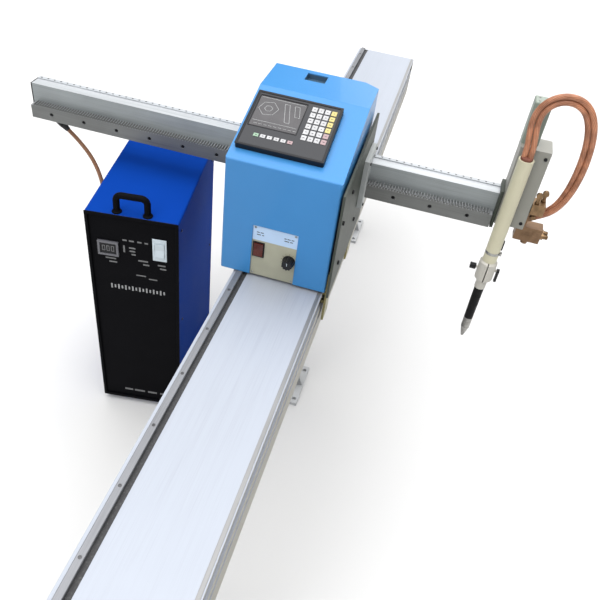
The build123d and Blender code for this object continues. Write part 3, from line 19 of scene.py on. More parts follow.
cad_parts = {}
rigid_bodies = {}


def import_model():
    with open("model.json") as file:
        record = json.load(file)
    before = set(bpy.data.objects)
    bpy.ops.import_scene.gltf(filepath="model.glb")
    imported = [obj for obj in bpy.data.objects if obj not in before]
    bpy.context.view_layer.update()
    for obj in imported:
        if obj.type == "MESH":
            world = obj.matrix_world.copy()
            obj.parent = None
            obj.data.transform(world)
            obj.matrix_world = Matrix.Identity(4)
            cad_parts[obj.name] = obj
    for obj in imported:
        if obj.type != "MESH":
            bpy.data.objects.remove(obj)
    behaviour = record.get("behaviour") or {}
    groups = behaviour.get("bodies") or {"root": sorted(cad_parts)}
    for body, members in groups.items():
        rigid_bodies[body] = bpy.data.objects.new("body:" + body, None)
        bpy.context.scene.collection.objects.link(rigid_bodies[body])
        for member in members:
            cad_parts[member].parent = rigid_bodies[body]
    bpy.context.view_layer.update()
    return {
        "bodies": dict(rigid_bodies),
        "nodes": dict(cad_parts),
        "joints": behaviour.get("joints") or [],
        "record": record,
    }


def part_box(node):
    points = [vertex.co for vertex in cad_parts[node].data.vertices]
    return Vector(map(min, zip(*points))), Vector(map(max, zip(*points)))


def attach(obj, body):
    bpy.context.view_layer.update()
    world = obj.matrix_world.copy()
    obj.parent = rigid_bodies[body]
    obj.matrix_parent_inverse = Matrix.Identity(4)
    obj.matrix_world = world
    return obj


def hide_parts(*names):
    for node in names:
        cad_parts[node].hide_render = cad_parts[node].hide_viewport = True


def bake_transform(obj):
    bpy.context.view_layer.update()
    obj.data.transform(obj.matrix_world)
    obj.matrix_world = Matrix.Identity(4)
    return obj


LOG = logging.getLogger("cutting_machine")
MM = 0.001

Colour = tuple[float, float, float]
Point = tuple[float, float, float]
Pair = tuple[float, float]
Profile = tuple[Pair, ...]
# Across, up, width and height of a printed dash, in millimetres.
Dash = tuple[float, float, float, float]
# Marks per metre along and across a drawn grain, and how many finer layers they have.
Streaks = tuple[float, float, float]
Piece = bpy.types.Object
Value = Union["Field", float]
FaceTest = Callable[[Vector, Vector], bool]

RIGHT = Vector((1.0, 0.0, 0.0))
BACK = Vector((0.0, 1.0, 0.0))
UP = Vector((0.0, 0.0, 1.0))
BLACK = (0.0, 0.0, 0.0)
WHITE = (1.0, 1.0, 1.0)


# Shader graphs


@dataclass(frozen=True)
class Grain:
    """Soft noise: its spots per metre, on all axes or on each, and how many finer layers it has."""

    scale: Union[float, Point]
    layers: float = 2.0


@dataclass(frozen=True)
class Relief:
    """How far a grain raises a surface, in metres, and how strongly that shows."""

    depth: float
    strength: float


class Axis(Enum):
    """One direction of the machine's frame, by the name of its socket."""

    X = "X"
    Y = "Y"
    Z = "Z"

    def stretch(self, along: float, across: float, layers: float) -> Grain:
        """Give a grain drawn out this way, from its marks per metre along and across and its layers."""
        return Grain(tuple(along if axis is self else across for axis in Axis), layers)


class Field:
    """A socket of a shader graph that takes part in Python expressions."""

    def __init__(self, graph: "Graph", socket: bpy.types.NodeSocket) -> None:
        """Wrap one output socket of a graph."""
        self.graph = graph
        self.socket = socket

    def _math(self, operation: str, *values: Value) -> "Field":
        """Add one Math node for an expression."""
        return self.graph.node("ShaderNodeMath", {"operation": operation}, dict(enumerate(values)))

    def __add__(self, other: Value) -> "Field":
        """Add a value."""
        return self._math("ADD", self, other)

    __radd__ = __add__

    def __sub__(self, other: Value) -> "Field":
        """Take a value away."""
        return self._math("SUBTRACT", self, other)

    def __rsub__(self, other: Value) -> "Field":
        """Take this away from a value."""
        return self._math("SUBTRACT", other, self)

    def __mul__(self, other: Value) -> "Field":
        """Multiply by a value."""
        return self._math("MULTIPLY", self, other)

    __rmul__ = __mul__

    def __gt__(self, other: Value) -> "Field":
        """Give 1 where this is above a value, and 0 elsewhere."""
        return self._math("GREATER_THAN", self, other)

    def __lt__(self, other: Value) -> "Field":
        """Give 1 where this is below a value, and 0 elsewhere."""
        return self._math("LESS_THAN", self, other)

    def __abs__(self) -> "Field":
        """Give the size without its sign."""
        return self._math("ABSOLUTE", self)

    def sine(self) -> "Field":
        """Give the sine of an angle in radians."""
        return self._math("SINE", self)

    def ramp(self, low: float, high: float) -> "Field":
        """Rise smoothly from 0 at low to 1 at high."""
        limits = {"Value": self, "From Min": low, "From Max": high}
        return self.graph.node("ShaderNodeMapRange", {"interpolation_type": "SMOOTHSTEP"}, limits)

    def swing(self, amount: float) -> "Field":
        """Turn a field from 0 to 1 into a swing about 0, this wide from end to end."""
        return amount * (self - 0.5)


class Graph:
    """A tree of shader nodes, started empty."""

    MIX_FACTOR, MIX_FIRST, MIX_SECOND, MIX_RESULT = 0, 6, 7, 2

    def __init__(self, tree: bpy.types.NodeTree) -> None:
        """Take over a tree and clear it."""
        self.tree = tree
        self.tree.nodes.clear()

    def node(
        self,
        kind: str,
        settings: Optional[Mapping[str, Any]] = None,
        inputs: Optional[Mapping[Any, Any]] = None,
        output: Union[int, str] = 0,
    ) -> Field:
        """Add any node.

        Args:
            kind: The node's type.
            settings: Its own settings, set before its sockets.
            inputs: A value, or a field to link, for each socket by name or number.
            output: The socket to give back.

        Returns:
            The chosen output.
        """
        made = self.tree.nodes.new(kind)
        for name, value in (settings or {}).items():
            setattr(made, name, value)
        for name, value in (inputs or {}).items():
            self.feed(made.inputs[name], value)
        return Field(self, made.outputs[output])

    def feed(self, socket: bpy.types.NodeSocket, value: Any) -> None:
        """Link a field to a socket, or set a plain value on it.

        Args:
            socket: The input to feed.
            value: A field, a number, a colour of three parts or a vector.
        """
        if isinstance(value, Field):
            self.tree.links.new(value.socket, socket)
        elif socket.type == "RGBA":
            socket.default_value = (*value, 1.0)
        else:
            socket.default_value = value

    def end(self, kind: str, shader: bpy.types.NodeSocket) -> None:
        """Add the tree's output node and link a shader to it."""
        self.tree.links.new(shader, self.tree.nodes.new(kind).inputs["Surface"])

    def part(self, vector: Field, axis: Axis) -> Field:
        """Give one coordinate of a vector."""
        return self.node("ShaderNodeSeparateXYZ", None, {0: vector}, axis.value)

    def mix(self, first: Any, second: Any, factor: Field) -> Field:
        """Mix two colours, given as numbers or fields, by the share of the second."""
        inputs = {self.MIX_FACTOR: factor, self.MIX_FIRST: first, self.MIX_SECOND: second}
        return self.node("ShaderNodeMix", {"data_type": "RGBA"}, inputs, self.MIX_RESULT)

    def mottle(self, colour: Colour, shades: Pair, factor: Field) -> Field:
        """Mix a dark and a light shade of one colour, by the share of the light one."""
        dark, light = shades
        return self.mix(shaded(colour, dark), shaded(colour, light), factor)


class Surface(Graph):
    """The graph of one material, round one principled shader."""

    # How far up a face looks where it starts to count as level, and where it does so fully.
    LEVEL = (0.6, 0.85)
    # How far a rounded normal leaves the flat one where an edge starts, and where it is full.
    EDGE = (0.01, 0.16)
    BEVEL_SAMPLES = 4

    def __init__(self, name: str) -> None:
        """Start a material with a bare shader.

        Args:
            name: The material's name.
        """
        self.material = bpy.data.materials.new(name)
        self.material.use_nodes = True
        super().__init__(self.material.node_tree)
        self.shader = self.tree.nodes.new("ShaderNodeBsdfPrincipled")
        self.end("ShaderNodeOutputMaterial", self.shader.outputs[0])
        self.place = self.node("ShaderNodeTexCoord", output="Object")

    def at(self, axis: Axis) -> Field:
        """Give one coordinate of the surface, in metres."""
        return self.part(self.place, axis)

    def level(self) -> Field:
        """Give 1 on faces that look up, and 0 on the others."""
        return self.part(self.node("ShaderNodeTexCoord", output="Normal"), Axis.Z).ramp(*self.LEVEL)

    def noise(self, grain: Grain) -> Field:
        """Give soft noise from 0 to 1.

        Args:
            grain: Its spots and layers.

        Returns:
            The noise.
        """
        each = grain.scale if isinstance(grain.scale, tuple) else (grain.scale,) * 3
        stretched = self.node("ShaderNodeVectorMath", {"operation": "MULTIPLY"}, {0: self.place, 1: each})
        inputs = {"Vector": stretched, "Scale": 1.0, "Detail": grain.layers}
        return self.node("ShaderNodeTexNoise", None, inputs)

    def eased(self, radius: float) -> Field:
        """Give the normal of the surface as if its edges were rounded to a radius."""
        return self.node("ShaderNodeBevel", {"samples": self.BEVEL_SAMPLES}, {"Radius": radius})

    def edges(self, eased: Field) -> Field:
        """Give 1 on an eased edge and 0 on a flat face.

        Args:
            eased: The normal with its edges rounded.

        Returns:
            The share of edge.
        """
        flat = self.node("ShaderNodeNewGeometry", output="Normal")
        dot = self.node("ShaderNodeVectorMath", {"operation": "DOT_PRODUCT"}, {0: eased, 1: flat}, "Value")
        return (1.0 - dot).ramp(*self.EDGE)

    def bump(self, height: Field, relief: Relief, normal: Field) -> Field:
        """Raise a normal by a height from 0 to 1."""
        inputs = {"Height": height, "Distance": relief.depth, "Strength": relief.strength, "Normal": normal}
        return self.node("ShaderNodeBump", None, inputs)

    def shade(self, sockets: Mapping[str, Any]) -> bpy.types.Material:
        """Feed the shader and give the finished material.

        Args:
            sockets: Values or fields by socket name.

        Returns:
            The material.
        """
        for name, value in sockets.items():
            self.feed(self.shader.inputs[name], value)
        return self.material


# Kinds of finish


def shaded(colour: Colour, factor: float) -> Colour:
    """Give a colour made lighter or darker by a factor."""
    return tuple(min(1.0, part * factor) for part in colour)


@dataclass(frozen=True)
class Finish:
    """A surface finish: its name, its main colour, how far its edges are eased and its gloss."""

    name: str
    colour: Colour
    edge: float = 0.0008
    gloss: float = 0.5

    def sockets(self, surface: Surface) -> dict[str, Any]:
        """Give what feeds the shader, by socket name."""
        raise NotImplementedError

    def material(self) -> bpy.types.Material:
        """Make the finish's material."""
        surface = Surface(self.name)
        return surface.shade({"Specular IOR Level": self.gloss, **self.sockets(surface)})


@dataclass(frozen=True)
class PowderCoat(Finish):
    """Baked paint with a fine orange peel, a little uneven, and thin on its edges."""

    roughness: float = 0.36
    wear: float = 0.15
    coat: float = 0.1
    bare: Colour = (0.5, 0.52, 0.54)
    peel: Grain = Grain(900.0, 1.0)
    cloud: Grain = Grain(5.0, 3.0)
    dust: Grain = Grain(160.0, 4.0)
    shades: Pair = (0.9, 1.1)
    worn: Pair = (0.3, 0.7)
    cloud_swing: float = 0.12
    dust_swing: float = 0.1
    relief: Relief = Relief(0.0002, 0.12)

    def sockets(self, surface: Surface) -> dict[str, Any]:
        """Give what feeds the shader.

        Args:
            surface: The material's graph.

        Returns:
            Values by socket name.
        """
        eased = surface.eased(self.edge)
        cloud, dust = surface.noise(self.cloud), surface.noise(self.dust)
        paint = surface.mottle(self.colour, self.shades, cloud)
        thin = surface.edges(eased) * dust.ramp(*self.worn) * self.wear
        return {
            "Base Color": surface.mix(paint, self.bare, thin),
            "Roughness": self.roughness + cloud.swing(self.cloud_swing) + dust.swing(self.dust_swing),
            "Coat Weight": self.coat * (1.0 - thin),
            "Normal": surface.bump(surface.noise(self.peel), self.relief, eased),
        }


@dataclass(frozen=True)
class DrawnMetal(Finish):
    """Bare metal with fine marks along its grain, handling smudges, and painted light on its level faces."""

    grain: Axis = Axis.Y
    roughness: float = 0.36
    contrast: float = 0.28
    metal: float = 0.6
    tint: Optional[Colour] = None
    # A colour painted on level faces in place of the body's colour: painted light from above.
    top: Optional[Colour] = None
    fine: Streaks = (7.0, 840.0, 2.0)
    coarse: Streaks = (2.0, 84.0, 3.0)
    fine_share: float = 0.6
    coarse_share: float = 0.4
    smudge: Grain = Grain(9.0, 4.0)
    smudged: Pair = (0.3, 0.7)
    smudge_shade: float = 0.9
    streaked: Pair = (0.2, 0.6)
    streak_swing: float = 0.3
    smudge_swing: float = 0.12
    relief: Relief = Relief(0.0001, 0.1)

    def sockets(self, surface: Surface) -> dict[str, Any]:
        """Give what feeds the shader.

        Args:
            surface: The material's graph.

        Returns:
            Values by socket name.
        """
        fine = surface.noise(self.grain.stretch(*self.fine))
        coarse = surface.noise(self.grain.stretch(*self.coarse))
        streak = self.fine_share * fine + self.coarse_share * coarse
        smudge = surface.noise(self.smudge)
        smudged = self.tint or shaded(self.colour, self.smudge_shade)
        body = surface.mix(smudged, self.colour, smudge.ramp(*self.smudged))
        # Level faces take the top colour, painted light from above.
        if self.top:
            body = surface.mix(body, self.top, surface.level())
        return {
            "Base Color": surface.mix(body, BLACK, self.contrast * (1.0 - streak.ramp(*self.streaked))),
            "Roughness": self.roughness + streak.swing(self.streak_swing) + smudge.swing(self.smudge_swing),
            "Metallic": self.metal,
            "Normal": surface.bump(fine, self.relief, surface.eased(self.edge)),
        }


@dataclass(frozen=True)
class TurnedMetal(Finish):
    """Metal with fine rings left by turning it about the Z axis, and with stains."""

    roughness: float = 0.3
    ring: Grain = Grain((12.0, 12.0, 900.0), 1.0)
    ringed: Pair = (0.3, 0.6)
    ring_shade: float = 0.75
    ring_swing: float = 0.25
    stain: Grain = Grain((60.0, 60.0, 40.0), 4.0)
    stained: Pair = (0.3, 0.62)
    stain_shades: Pair = (0.55, 1.0)
    stain_swing: float = 0.2
    relief: Relief = Relief(0.0001, 0.15)

    def sockets(self, surface: Surface) -> dict[str, Any]:
        """Give what feeds the shader.

        Args:
            surface: The material's graph.

        Returns:
            Values by socket name.
        """
        ring, stain = surface.noise(self.ring), surface.noise(self.stain)
        body = surface.mottle(self.colour, self.stain_shades, stain.ramp(*self.stained))
        return {
            "Base Color": surface.mix(shaded(self.colour, self.ring_shade), body, ring.ramp(*self.ringed)),
            "Roughness": self.roughness + ring.swing(self.ring_swing) + stain.swing(self.stain_swing),
            "Metallic": 1.0,
            "Normal": surface.bump(ring, self.relief, surface.eased(self.edge)),
        }


@dataclass(frozen=True)
class MouldedPlastic(Finish):
    """Moulded plastic with a spark-eroded grain, and a painted sheen on its level faces if it has one."""

    roughness: float = 0.45
    # A paler colour painted on level faces: a painted sheen.
    top: Optional[Colour] = None
    speckle: Grain = Grain(1400.0)
    speckle_swing: float = 0.16
    cloud: Grain = Grain(18.0, 3.0)
    cloud_swing: float = 0.1
    shades: Pair = (0.82, 1.12)
    edge_shade: float = 1.35
    edge_share: float = 0.5
    painted_sheen_share: float = 0.85
    relief: Relief = Relief(0.0001, 0.12)

    def sockets(self, surface: Surface) -> dict[str, Any]:
        """Give what feeds the shader.

        Args:
            surface: The material's graph.

        Returns:
            Values by socket name.
        """
        eased = surface.eased(self.edge)
        speckle, cloud = surface.noise(self.speckle), surface.noise(self.cloud)
        body = surface.mottle(self.colour, self.shades, cloud)
        rim = surface.edges(eased) * self.edge_share
        body = surface.mix(body, shaded(self.colour, self.edge_shade), rim)
        # Level faces take the top colour as a painted sheen, a little patchy with the cloud.
        if self.top:
            painted_sheen = self.painted_sheen_share + (1.0 - self.painted_sheen_share) * cloud
            body = surface.mix(body, self.top, surface.level() * painted_sheen)
        return {
            "Base Color": body,
            "Roughness": self.roughness + speckle.swing(self.speckle_swing) + cloud.swing(self.cloud_swing),
            "Normal": surface.bump(speckle, self.relief, eased),
        }


@dataclass(frozen=True)
class SoftRubber(Finish):
    """Matt rubber with a bloom of dust."""

    bloom: Colour = (0.1, 0.1, 0.098)
    roughness: float = 0.72
    dust: Grain = Grain(220.0, 4.0)
    dusty: Pair = (0.45, 0.8)
    patch: Grain = Grain(25.0, 3.0)
    patch_swing: float = 0.2
    relief: Relief = Relief(0.0002, 0.2)

    def sockets(self, surface: Surface) -> dict[str, Any]:
        """Give what feeds the shader.

        Args:
            surface: The material's graph.

        Returns:
            Values by socket name.
        """
        dust, patch = surface.noise(self.dust), surface.noise(self.patch)
        return {
            "Base Color": surface.mix(self.colour, self.bloom, dust.ramp(*self.dusty) * patch),
            "Roughness": self.roughness + patch.swing(self.patch_swing),
            "Normal": surface.bump(dust, self.relief, surface.eased(self.edge)),
        }


@dataclass(frozen=True)
class BandedPaint(Finish):
    """Satin paint in two bands that meet at a height, the upper one glossier than the lower one."""

    upper: Colour = (0.43, 0.57, 0.76)
    height: float = 0.818
    line: float = 0.0004
    roughness: float = 0.46
    upper_polish: float = 0.12
    cloud: Grain = Grain(22.0, 4.0)
    cloud_swing: float = 0.15
    lower_shades: Pair = (0.84, 1.12)
    upper_shades: Pair = (0.94, 1.05)
    peel: Grain = Grain(900.0, 1.0)
    relief: Relief = Relief(0.0001, 0.1)

    def sockets(self, surface: Surface) -> dict[str, Any]:
        """Give what feeds the shader.

        Args:
            surface: The material's graph.

        Returns:
            Values by socket name.
        """
        band = surface.at(Axis.Z).ramp(self.height - self.line, self.height + self.line)
        cloud = surface.noise(self.cloud)
        lower = surface.mottle(self.colour, self.lower_shades, cloud)
        upper = surface.mottle(self.upper, self.upper_shades, cloud)
        return {
            "Base Color": surface.mix(lower, upper, band),
            "Roughness": self.roughness - self.upper_polish * band + cloud.swing(self.cloud_swing),
            "Normal": surface.bump(surface.noise(self.peel), self.relief, surface.eased(self.edge)),
        }


@dataclass(frozen=True)
class WrappedHose(Finish):
    """Hose cover of twisted strands, read from the hose's own UV map, with painted shade between strands."""

    # The colour of the gaps between the strands: painted shade.
    strand_gap_shade: Colour = (0.16, 0.05, 0.025)
    # Strands round the hose, and how many of them a straight line passes in a metre.
    strands: float = 12.0
    twist: float = 50.0
    ridge: Pair = (0.05, 0.6)
    ridge_share: float = 0.7
    roughness: float = 0.55
    ridge_polish: float = 0.14
    ridge_coat: float = 0.15
    fleck: Grain = Grain(150.0, 4.0)
    fleck_swing: float = 0.2
    patch: Grain = Grain(30.0, 3.0)
    patched: Pair = (0.3, 0.7)
    shades: Pair = (0.66, 1.3)
    relief: Relief = Relief(0.0006, 0.45)

    def sockets(self, surface: Surface) -> dict[str, Any]:
        """Give what feeds the shader.

        Args:
            surface: The material's graph.

        Returns:
            Values by socket name.
        """
        laid = surface.node("ShaderNodeTexCoord", output="UV")
        around, along = surface.part(laid, Axis.X), surface.part(laid, Axis.Y)
        strand = abs((math.pi * (self.strands * around + self.twist * along)).sine())
        fleck, patch = surface.noise(self.fleck), surface.noise(self.patch)
        body = surface.mottle(self.colour, self.shades, patch.ramp(*self.patched))
        # Off the ridges the colour falls to the painted shade of the gaps.
        ridge = strand.ramp(*self.ridge) * (self.ridge_share + (1.0 - self.ridge_share) * fleck)
        return {
            "Base Color": surface.mix(self.strand_gap_shade, body, ridge),
            "Roughness": self.roughness - self.ridge_polish * strand + fleck.swing(self.fleck_swing),
            "Coat Weight": self.ridge_coat * strand,
            "Normal": surface.bump(strand, self.relief, surface.eased(self.edge)),
        }


@dataclass(frozen=True)
class SkinnedLead(Finish):
    """Smooth extruded hose skin, scuffed a little."""

    roughness: float = 0.48
    scuff: Grain = Grain((90.0, 90.0, 40.0), 5.0)
    scuffed: Pair = (0.58, 0.8)
    scuff_shade: float = 1.7
    scuff_share: float = 0.4
    scuff_swing: float = 0.3
    patch: Grain = Grain((14.0, 14.0, 9.0), 3.0)
    shades: Pair = (0.7, 1.25)
    relief: Relief = Relief(0.0003, 0.15)

    def sockets(self, surface: Surface) -> dict[str, Any]:
        """Give what feeds the shader.

        Args:
            surface: The material's graph.

        Returns:
            Values by socket name.
        """
        scuff = surface.noise(self.scuff)
        body = surface.mottle(self.colour, self.shades, surface.noise(self.patch))
        pale, marked = shaded(self.colour, self.scuff_shade), scuff.ramp(*self.scuffed) * self.scuff_share
        return {
            "Base Color": surface.mix(body, pale, marked),
            "Roughness": self.roughness + scuff.swing(self.scuff_swing),
            "Normal": surface.bump(scuff, self.relief, surface.eased(self.edge)),
        }


@dataclass(frozen=True)
class KeyFilm(Finish):
    """Printed key tops: pale keys, a yellow column with a pink foot, a row with green and pink ends."""

    yellow: Colour = (0.5, 0.42, 0.16)
    pink: Colour = (0.34, 0.24, 0.25)
    green: Colour = (0.24, 0.36, 0.26)
    # Where the column starts across the keys, and below which height its foot lies.
    column: float = 0.043
    foot: float = 1.0816
    # Below which height the row lies, where its green end stops and where its pink end starts.
    row: float = 1.0695
    row_ends: Pair = (-0.097, -0.031)
    roughness: float = 0.45
    wear: Grain = Grain(70.0, 4.0)
    worn: Pair = (0.3, 0.7)
    wear_shades: Pair = (0.84, 1.0)
    wear_swing: float = 0.2
    texture: Grain = Grain(1200.0, 1.0)
    relief: Relief = Relief(0.0001, 0.08)

    def sockets(self, surface: Surface) -> dict[str, Any]:
        """Give what feeds the shader.

        Args:
            surface: The material's graph.

        Returns:
            Values by socket name.
        """
        across, height = surface.at(Axis.X), surface.at(Axis.Z)
        wear = surface.noise(self.wear)
        column, row = across > self.column, height < self.row
        printed = surface.mottle(self.colour, self.wear_shades, wear.ramp(*self.worn))
        for colour, area in (
            (self.yellow, column),
            (self.pink, column * (height < self.foot)),
            (self.green, row * (across < self.row_ends[0])),
            (self.pink, row * (across > self.row_ends[1])),
        ):
            printed = surface.mix(printed, colour, area)
        return {
            "Base Color": printed,
            "Roughness": self.roughness + wear.swing(self.wear_swing),
            "Normal": surface.bump(surface.noise(self.texture), self.relief, surface.eased(self.edge)),
        }


@dataclass(frozen=True)
class ScreenGlass(Finish):
    """A dark display behind glass, lighter in patches, with faint pixel rows and smears."""

    glow: Colour = (0.1, 0.11, 0.12)
    # Rows of pixels in a metre, and the share of glow between them.
    pixels: float = 900.0
    row_share: float = 0.7
    roughness: float = 0.2
    cloud: Grain = Grain(22.0)
    smear: Grain = Grain((40.0, 12.0, 40.0), 4.0)
    smeared: Pair = (0.5, 0.8)
    smear_dull: float = 0.25

    def sockets(self, surface: Surface) -> dict[str, Any]:
        """Give what feeds the shader.

        Args:
            surface: The material's graph.

        Returns:
            Values by socket name.
        """
        rows = abs((surface.at(Axis.X) * (math.pi * self.pixels)).sine())
        lit = surface.noise(self.cloud) * (self.row_share + (1.0 - self.row_share) * rows)
        return {
            "Base Color": surface.mix(self.colour, self.glow, lit),
            "Roughness": self.roughness + self.smear_dull * surface.noise(self.smear).ramp(*self.smeared),
        }


# Modelling


class Bench:
    """Modelling by hand tools, on one new piece at a time, about the origin."""

    # Edges sharper than the first angle are rounded, and shading runs over edges below the second.
    ROUNDED = math.radians(35.0)
    SMOOTHED = math.radians(32.0)
    # How much of a face's normal points a way when the face counts as looking that way.
    FACING = 0.9
    # How near to a point a face's middle lies when it counts as being there.
    TOUCH = 0.0001

    @staticmethod
    def clear() -> None:
        """Leave edit mode and select nothing."""
        if bpy.context.mode != "OBJECT":
            bpy.ops.object.mode_set(mode="OBJECT")
        bpy.ops.object.select_all(action="DESELECT")

    @classmethod
    def pick(cls, piece: Piece) -> None:
        """Select one piece alone and make it the active one.

        Args:
            piece: The piece.
        """
        cls.clear()
        piece.select_set(True)
        bpy.context.view_layer.objects.active = piece

    @staticmethod
    def take(name: str) -> Piece:
        """Name the piece that was just added, and put its place and size into its mesh.

        Args:
            name: The piece's name.

        Returns:
            The piece.
        """
        piece = bpy.context.object
        piece.name = piece.data.name = name
        bpy.ops.object.transform_apply(location=True, rotation=True, scale=True)
        return piece

    @classmethod
    def block(cls, name: str, size: Point, centre: Point = (0.0, 0.0, 0.0)) -> Piece:
        """Start from a box.

        Args:
            name: The piece's name.
            size: Its three sides.
            centre: Its middle.

        Returns:
            The box.
        """
        cls.clear()
        bpy.ops.mesh.primitive_cube_add(size=1.0, location=centre, scale=size)
        return cls.take(name)

    @classmethod
    def rod(cls, name: str, radius: float, length: float, sides: int = 24) -> Piece:
        """Start from an upright rod that stands on the origin.

        Args:
            name: The piece's name.
            radius: Its radius.
            length: Its height.
            sides: Flats round it.

        Returns:
            The rod.
        """
        cls.clear()
        middle = (0.0, 0.0, length / 2)
        bpy.ops.mesh.primitive_cylinder_add(vertices=sides, radius=radius, depth=length, location=middle)
        return cls.take(name)

    @classmethod
    def lathe(cls, name: str, profile: Sequence[Pair], sides: int = 32) -> Piece:
        """Turn a closed piece about Z, by drawing a disc up its profile.

        Args:
            name: The piece's name.
            profile: Radius and height of each ring, from the first to the last cap.
            sides: Flats round the piece.

        Returns:
            The turned piece.
        """
        cls.clear()
        radius, height = profile[0]
        foot = (0.0, 0.0, height)
        bpy.ops.mesh.primitive_circle_add(vertices=sides, radius=radius, fill_type="NGON", location=foot)
        piece = cls.take(name)
        with cls.edit(piece):
            bpy.ops.mesh.select_all(action="SELECT")
            for next_radius, next_height in profile[1:]:
                cls.push((0.0, 0.0, next_height - height))
                factor = next_radius / radius
                middle = (0.0, 0.0, next_height)
                bpy.ops.transform.resize(value=(factor, factor, 1.0), center_override=middle)
                radius, height = next_radius, next_height
            cls.face_outward()
        return cls.smooth(piece)

    @classmethod
    def frame(cls, name: str, size: Pair, border: float, height: float) -> Piece:
        """Make a flat rectangular frame with eased edges that stands on the origin's plane.

        Args:
            name: The piece's name.
            size: Outer width and height.
            border: How wide its sides are.
            height: How thick it is.

        Returns:
            The frame.
        """
        cls.clear()
        bpy.ops.mesh.primitive_plane_add(size=1.0)
        bpy.context.object.scale = (*size, 1.0)
        piece = cls.take(name)
        with cls.edit(piece):
            bpy.ops.mesh.select_all(action="SELECT")
            bpy.ops.mesh.inset(thickness=border, depth=0.0)
            cls.select_faces(piece, lambda place, normal: place.length < cls.TOUCH)
            bpy.ops.mesh.delete(type="FACE")
            bpy.ops.mesh.select_all(action="SELECT")
            cls.push((0.0, 0.0, height))
            cls.face_outward()
        return cls.ease(piece, height / 3)

    @classmethod
    @contextmanager
    def edit(cls, piece: Piece) -> Iterator[None]:
        """Work on one piece's faces in edit mode, with nothing selected at first.

        Args:
            piece: The piece.

        Yields:
            Nothing, while the piece is in edit mode.
        """
        cls.pick(piece)
        bpy.ops.object.mode_set(mode="EDIT")
        bpy.ops.mesh.select_mode(type="FACE")
        bpy.ops.mesh.select_all(action="DESELECT")
        yield
        bpy.ops.object.mode_set(mode="OBJECT")

    @staticmethod
    def select_faces(piece: Piece, test: FaceTest) -> None:
        """Select the faces whose middle and normal pass a test, and no others.

        Args:
            piece: The piece in edit mode.
            test: Says whether a face with this middle and normal is wanted.
        """
        bpy.ops.mesh.select_all(action="DESELECT")
        mesh = bmesh.from_edit_mesh(piece.data)
        for face in mesh.faces:
            if test(face.calc_center_median(), face.normal):
                face.select_set(True)
        bmesh.update_edit_mesh(piece.data)

    @staticmethod
    def push(way: Point) -> None:
        """Extrude what is selected by a step."""
        bpy.ops.mesh.extrude_region_move(TRANSFORM_OT_translate={"value": way})

    @staticmethod
    def face_outward() -> None:
        """Turn all faces of the piece in edit mode outwards."""
        bpy.ops.mesh.select_all(action="SELECT")
        bpy.ops.mesh.normals_make_consistent(inside=False)

    @classmethod
    def crown(cls, piece: Piece, inset: float, rise: float) -> Piece:
        """Inset a piece's top face and lift it, or sink it.

        Args:
            piece: The piece.
            inset: How far the face draws in.
            rise: How far it is lifted.

        Returns:
            The same piece.
        """
        with cls.edit(piece):
            cls.select_faces(piece, lambda place, normal: normal.z > cls.FACING)
            bpy.ops.mesh.inset(thickness=inset, depth=0.0)
            bpy.ops.transform.translate(value=(0.0, 0.0, rise))
        return piece

    @classmethod
    def modify(cls, piece: Piece, kind: str, **settings: Any) -> Piece:
        """Put a modifier on a piece and apply it.

        Args:
            piece: The piece.
            kind: The modifier's type.
            **settings: Its settings.

        Returns:
            The same piece.
        """
        cls.pick(piece)
        modifier = piece.modifiers.new(kind.lower(), kind)
        for name, value in settings.items():
            setattr(modifier, name, value)
        bpy.ops.object.modifier_apply(modifier=modifier.name)
        return piece

    @classmethod
    def ease(cls, piece: Piece, width: float, segments: int = 2) -> Piece:
        """Round a piece's sharp edges to a width, with this many faces across them."""
        sharp = {"limit_method": "ANGLE", "angle_limit": cls.ROUNDED}
        return cls.smooth(cls.modify(piece, "BEVEL", width=width, segments=segments, **sharp))

    @classmethod
    def cut(cls, piece: Piece, cutter: Piece) -> Piece:
        """Cut one piece out of another, and drop the cutter.

        Args:
            piece: The piece that stays.
            cutter: The piece that is used up.

        Returns:
            The piece that stays.
        """
        cls.modify(piece, "BOOLEAN", operation="DIFFERENCE", object=cutter)
        bpy.data.objects.remove(cutter)
        return piece

    @classmethod
    def smooth(cls, piece: Piece) -> Piece:
        """Shade a piece smooth across its shallow edges.

        Args:
            piece: The piece.

        Returns:
            The same piece.
        """
        cls.pick(piece)
        bpy.ops.object.shade_smooth_by_angle(angle=cls.SMOOTHED)
        return piece

    @classmethod
    def repeat(cls, master: Piece, places: Iterable[Matrix], name: str) -> Piece:
        """Copy a piece to several places, each with its own mesh, and group the copies.

        Args:
            master: The piece, modelled about the origin. It is used up.
            places: Where each copy goes.
            name: The group's name.

        Returns:
            The group as one piece.
        """
        copies = []
        for place in places:
            copy = master.copy()
            copy.data = master.data.copy()
            bpy.context.scene.collection.objects.link(copy)
            copies.append(cls.settle(copy, place))
        bpy.data.objects.remove(master)
        return cls.join(copies, name)

    @classmethod
    def join(cls, pieces: Sequence[Piece], name: str) -> Piece:
        """Group pieces into one.

        Args:
            pieces: The pieces.
            name: The group's name.

        Returns:
            The group.
        """
        cls.pick(pieces[0])
        for piece in pieces:
            piece.select_set(True)
        if len(pieces) > 1:
            bpy.ops.object.join()
        joined = bpy.context.view_layer.objects.active
        joined.name = joined.data.name = name
        return joined

    @staticmethod
    def settle(piece: Piece, place: Matrix) -> Piece:
        """Move a finished piece to its place, in its mesh.

        Args:
            piece: The piece, modelled about the origin.
            place: Where it goes.

        Returns:
            The same piece.
        """
        piece.data.transform(place)
        piece.data.update()
        return piece


def centred(count: int, pitch: float) -> list[float]:
    """Give evenly spaced distances about 0."""
    return [(step - (count - 1) / 2) * pitch for step in range(count)]


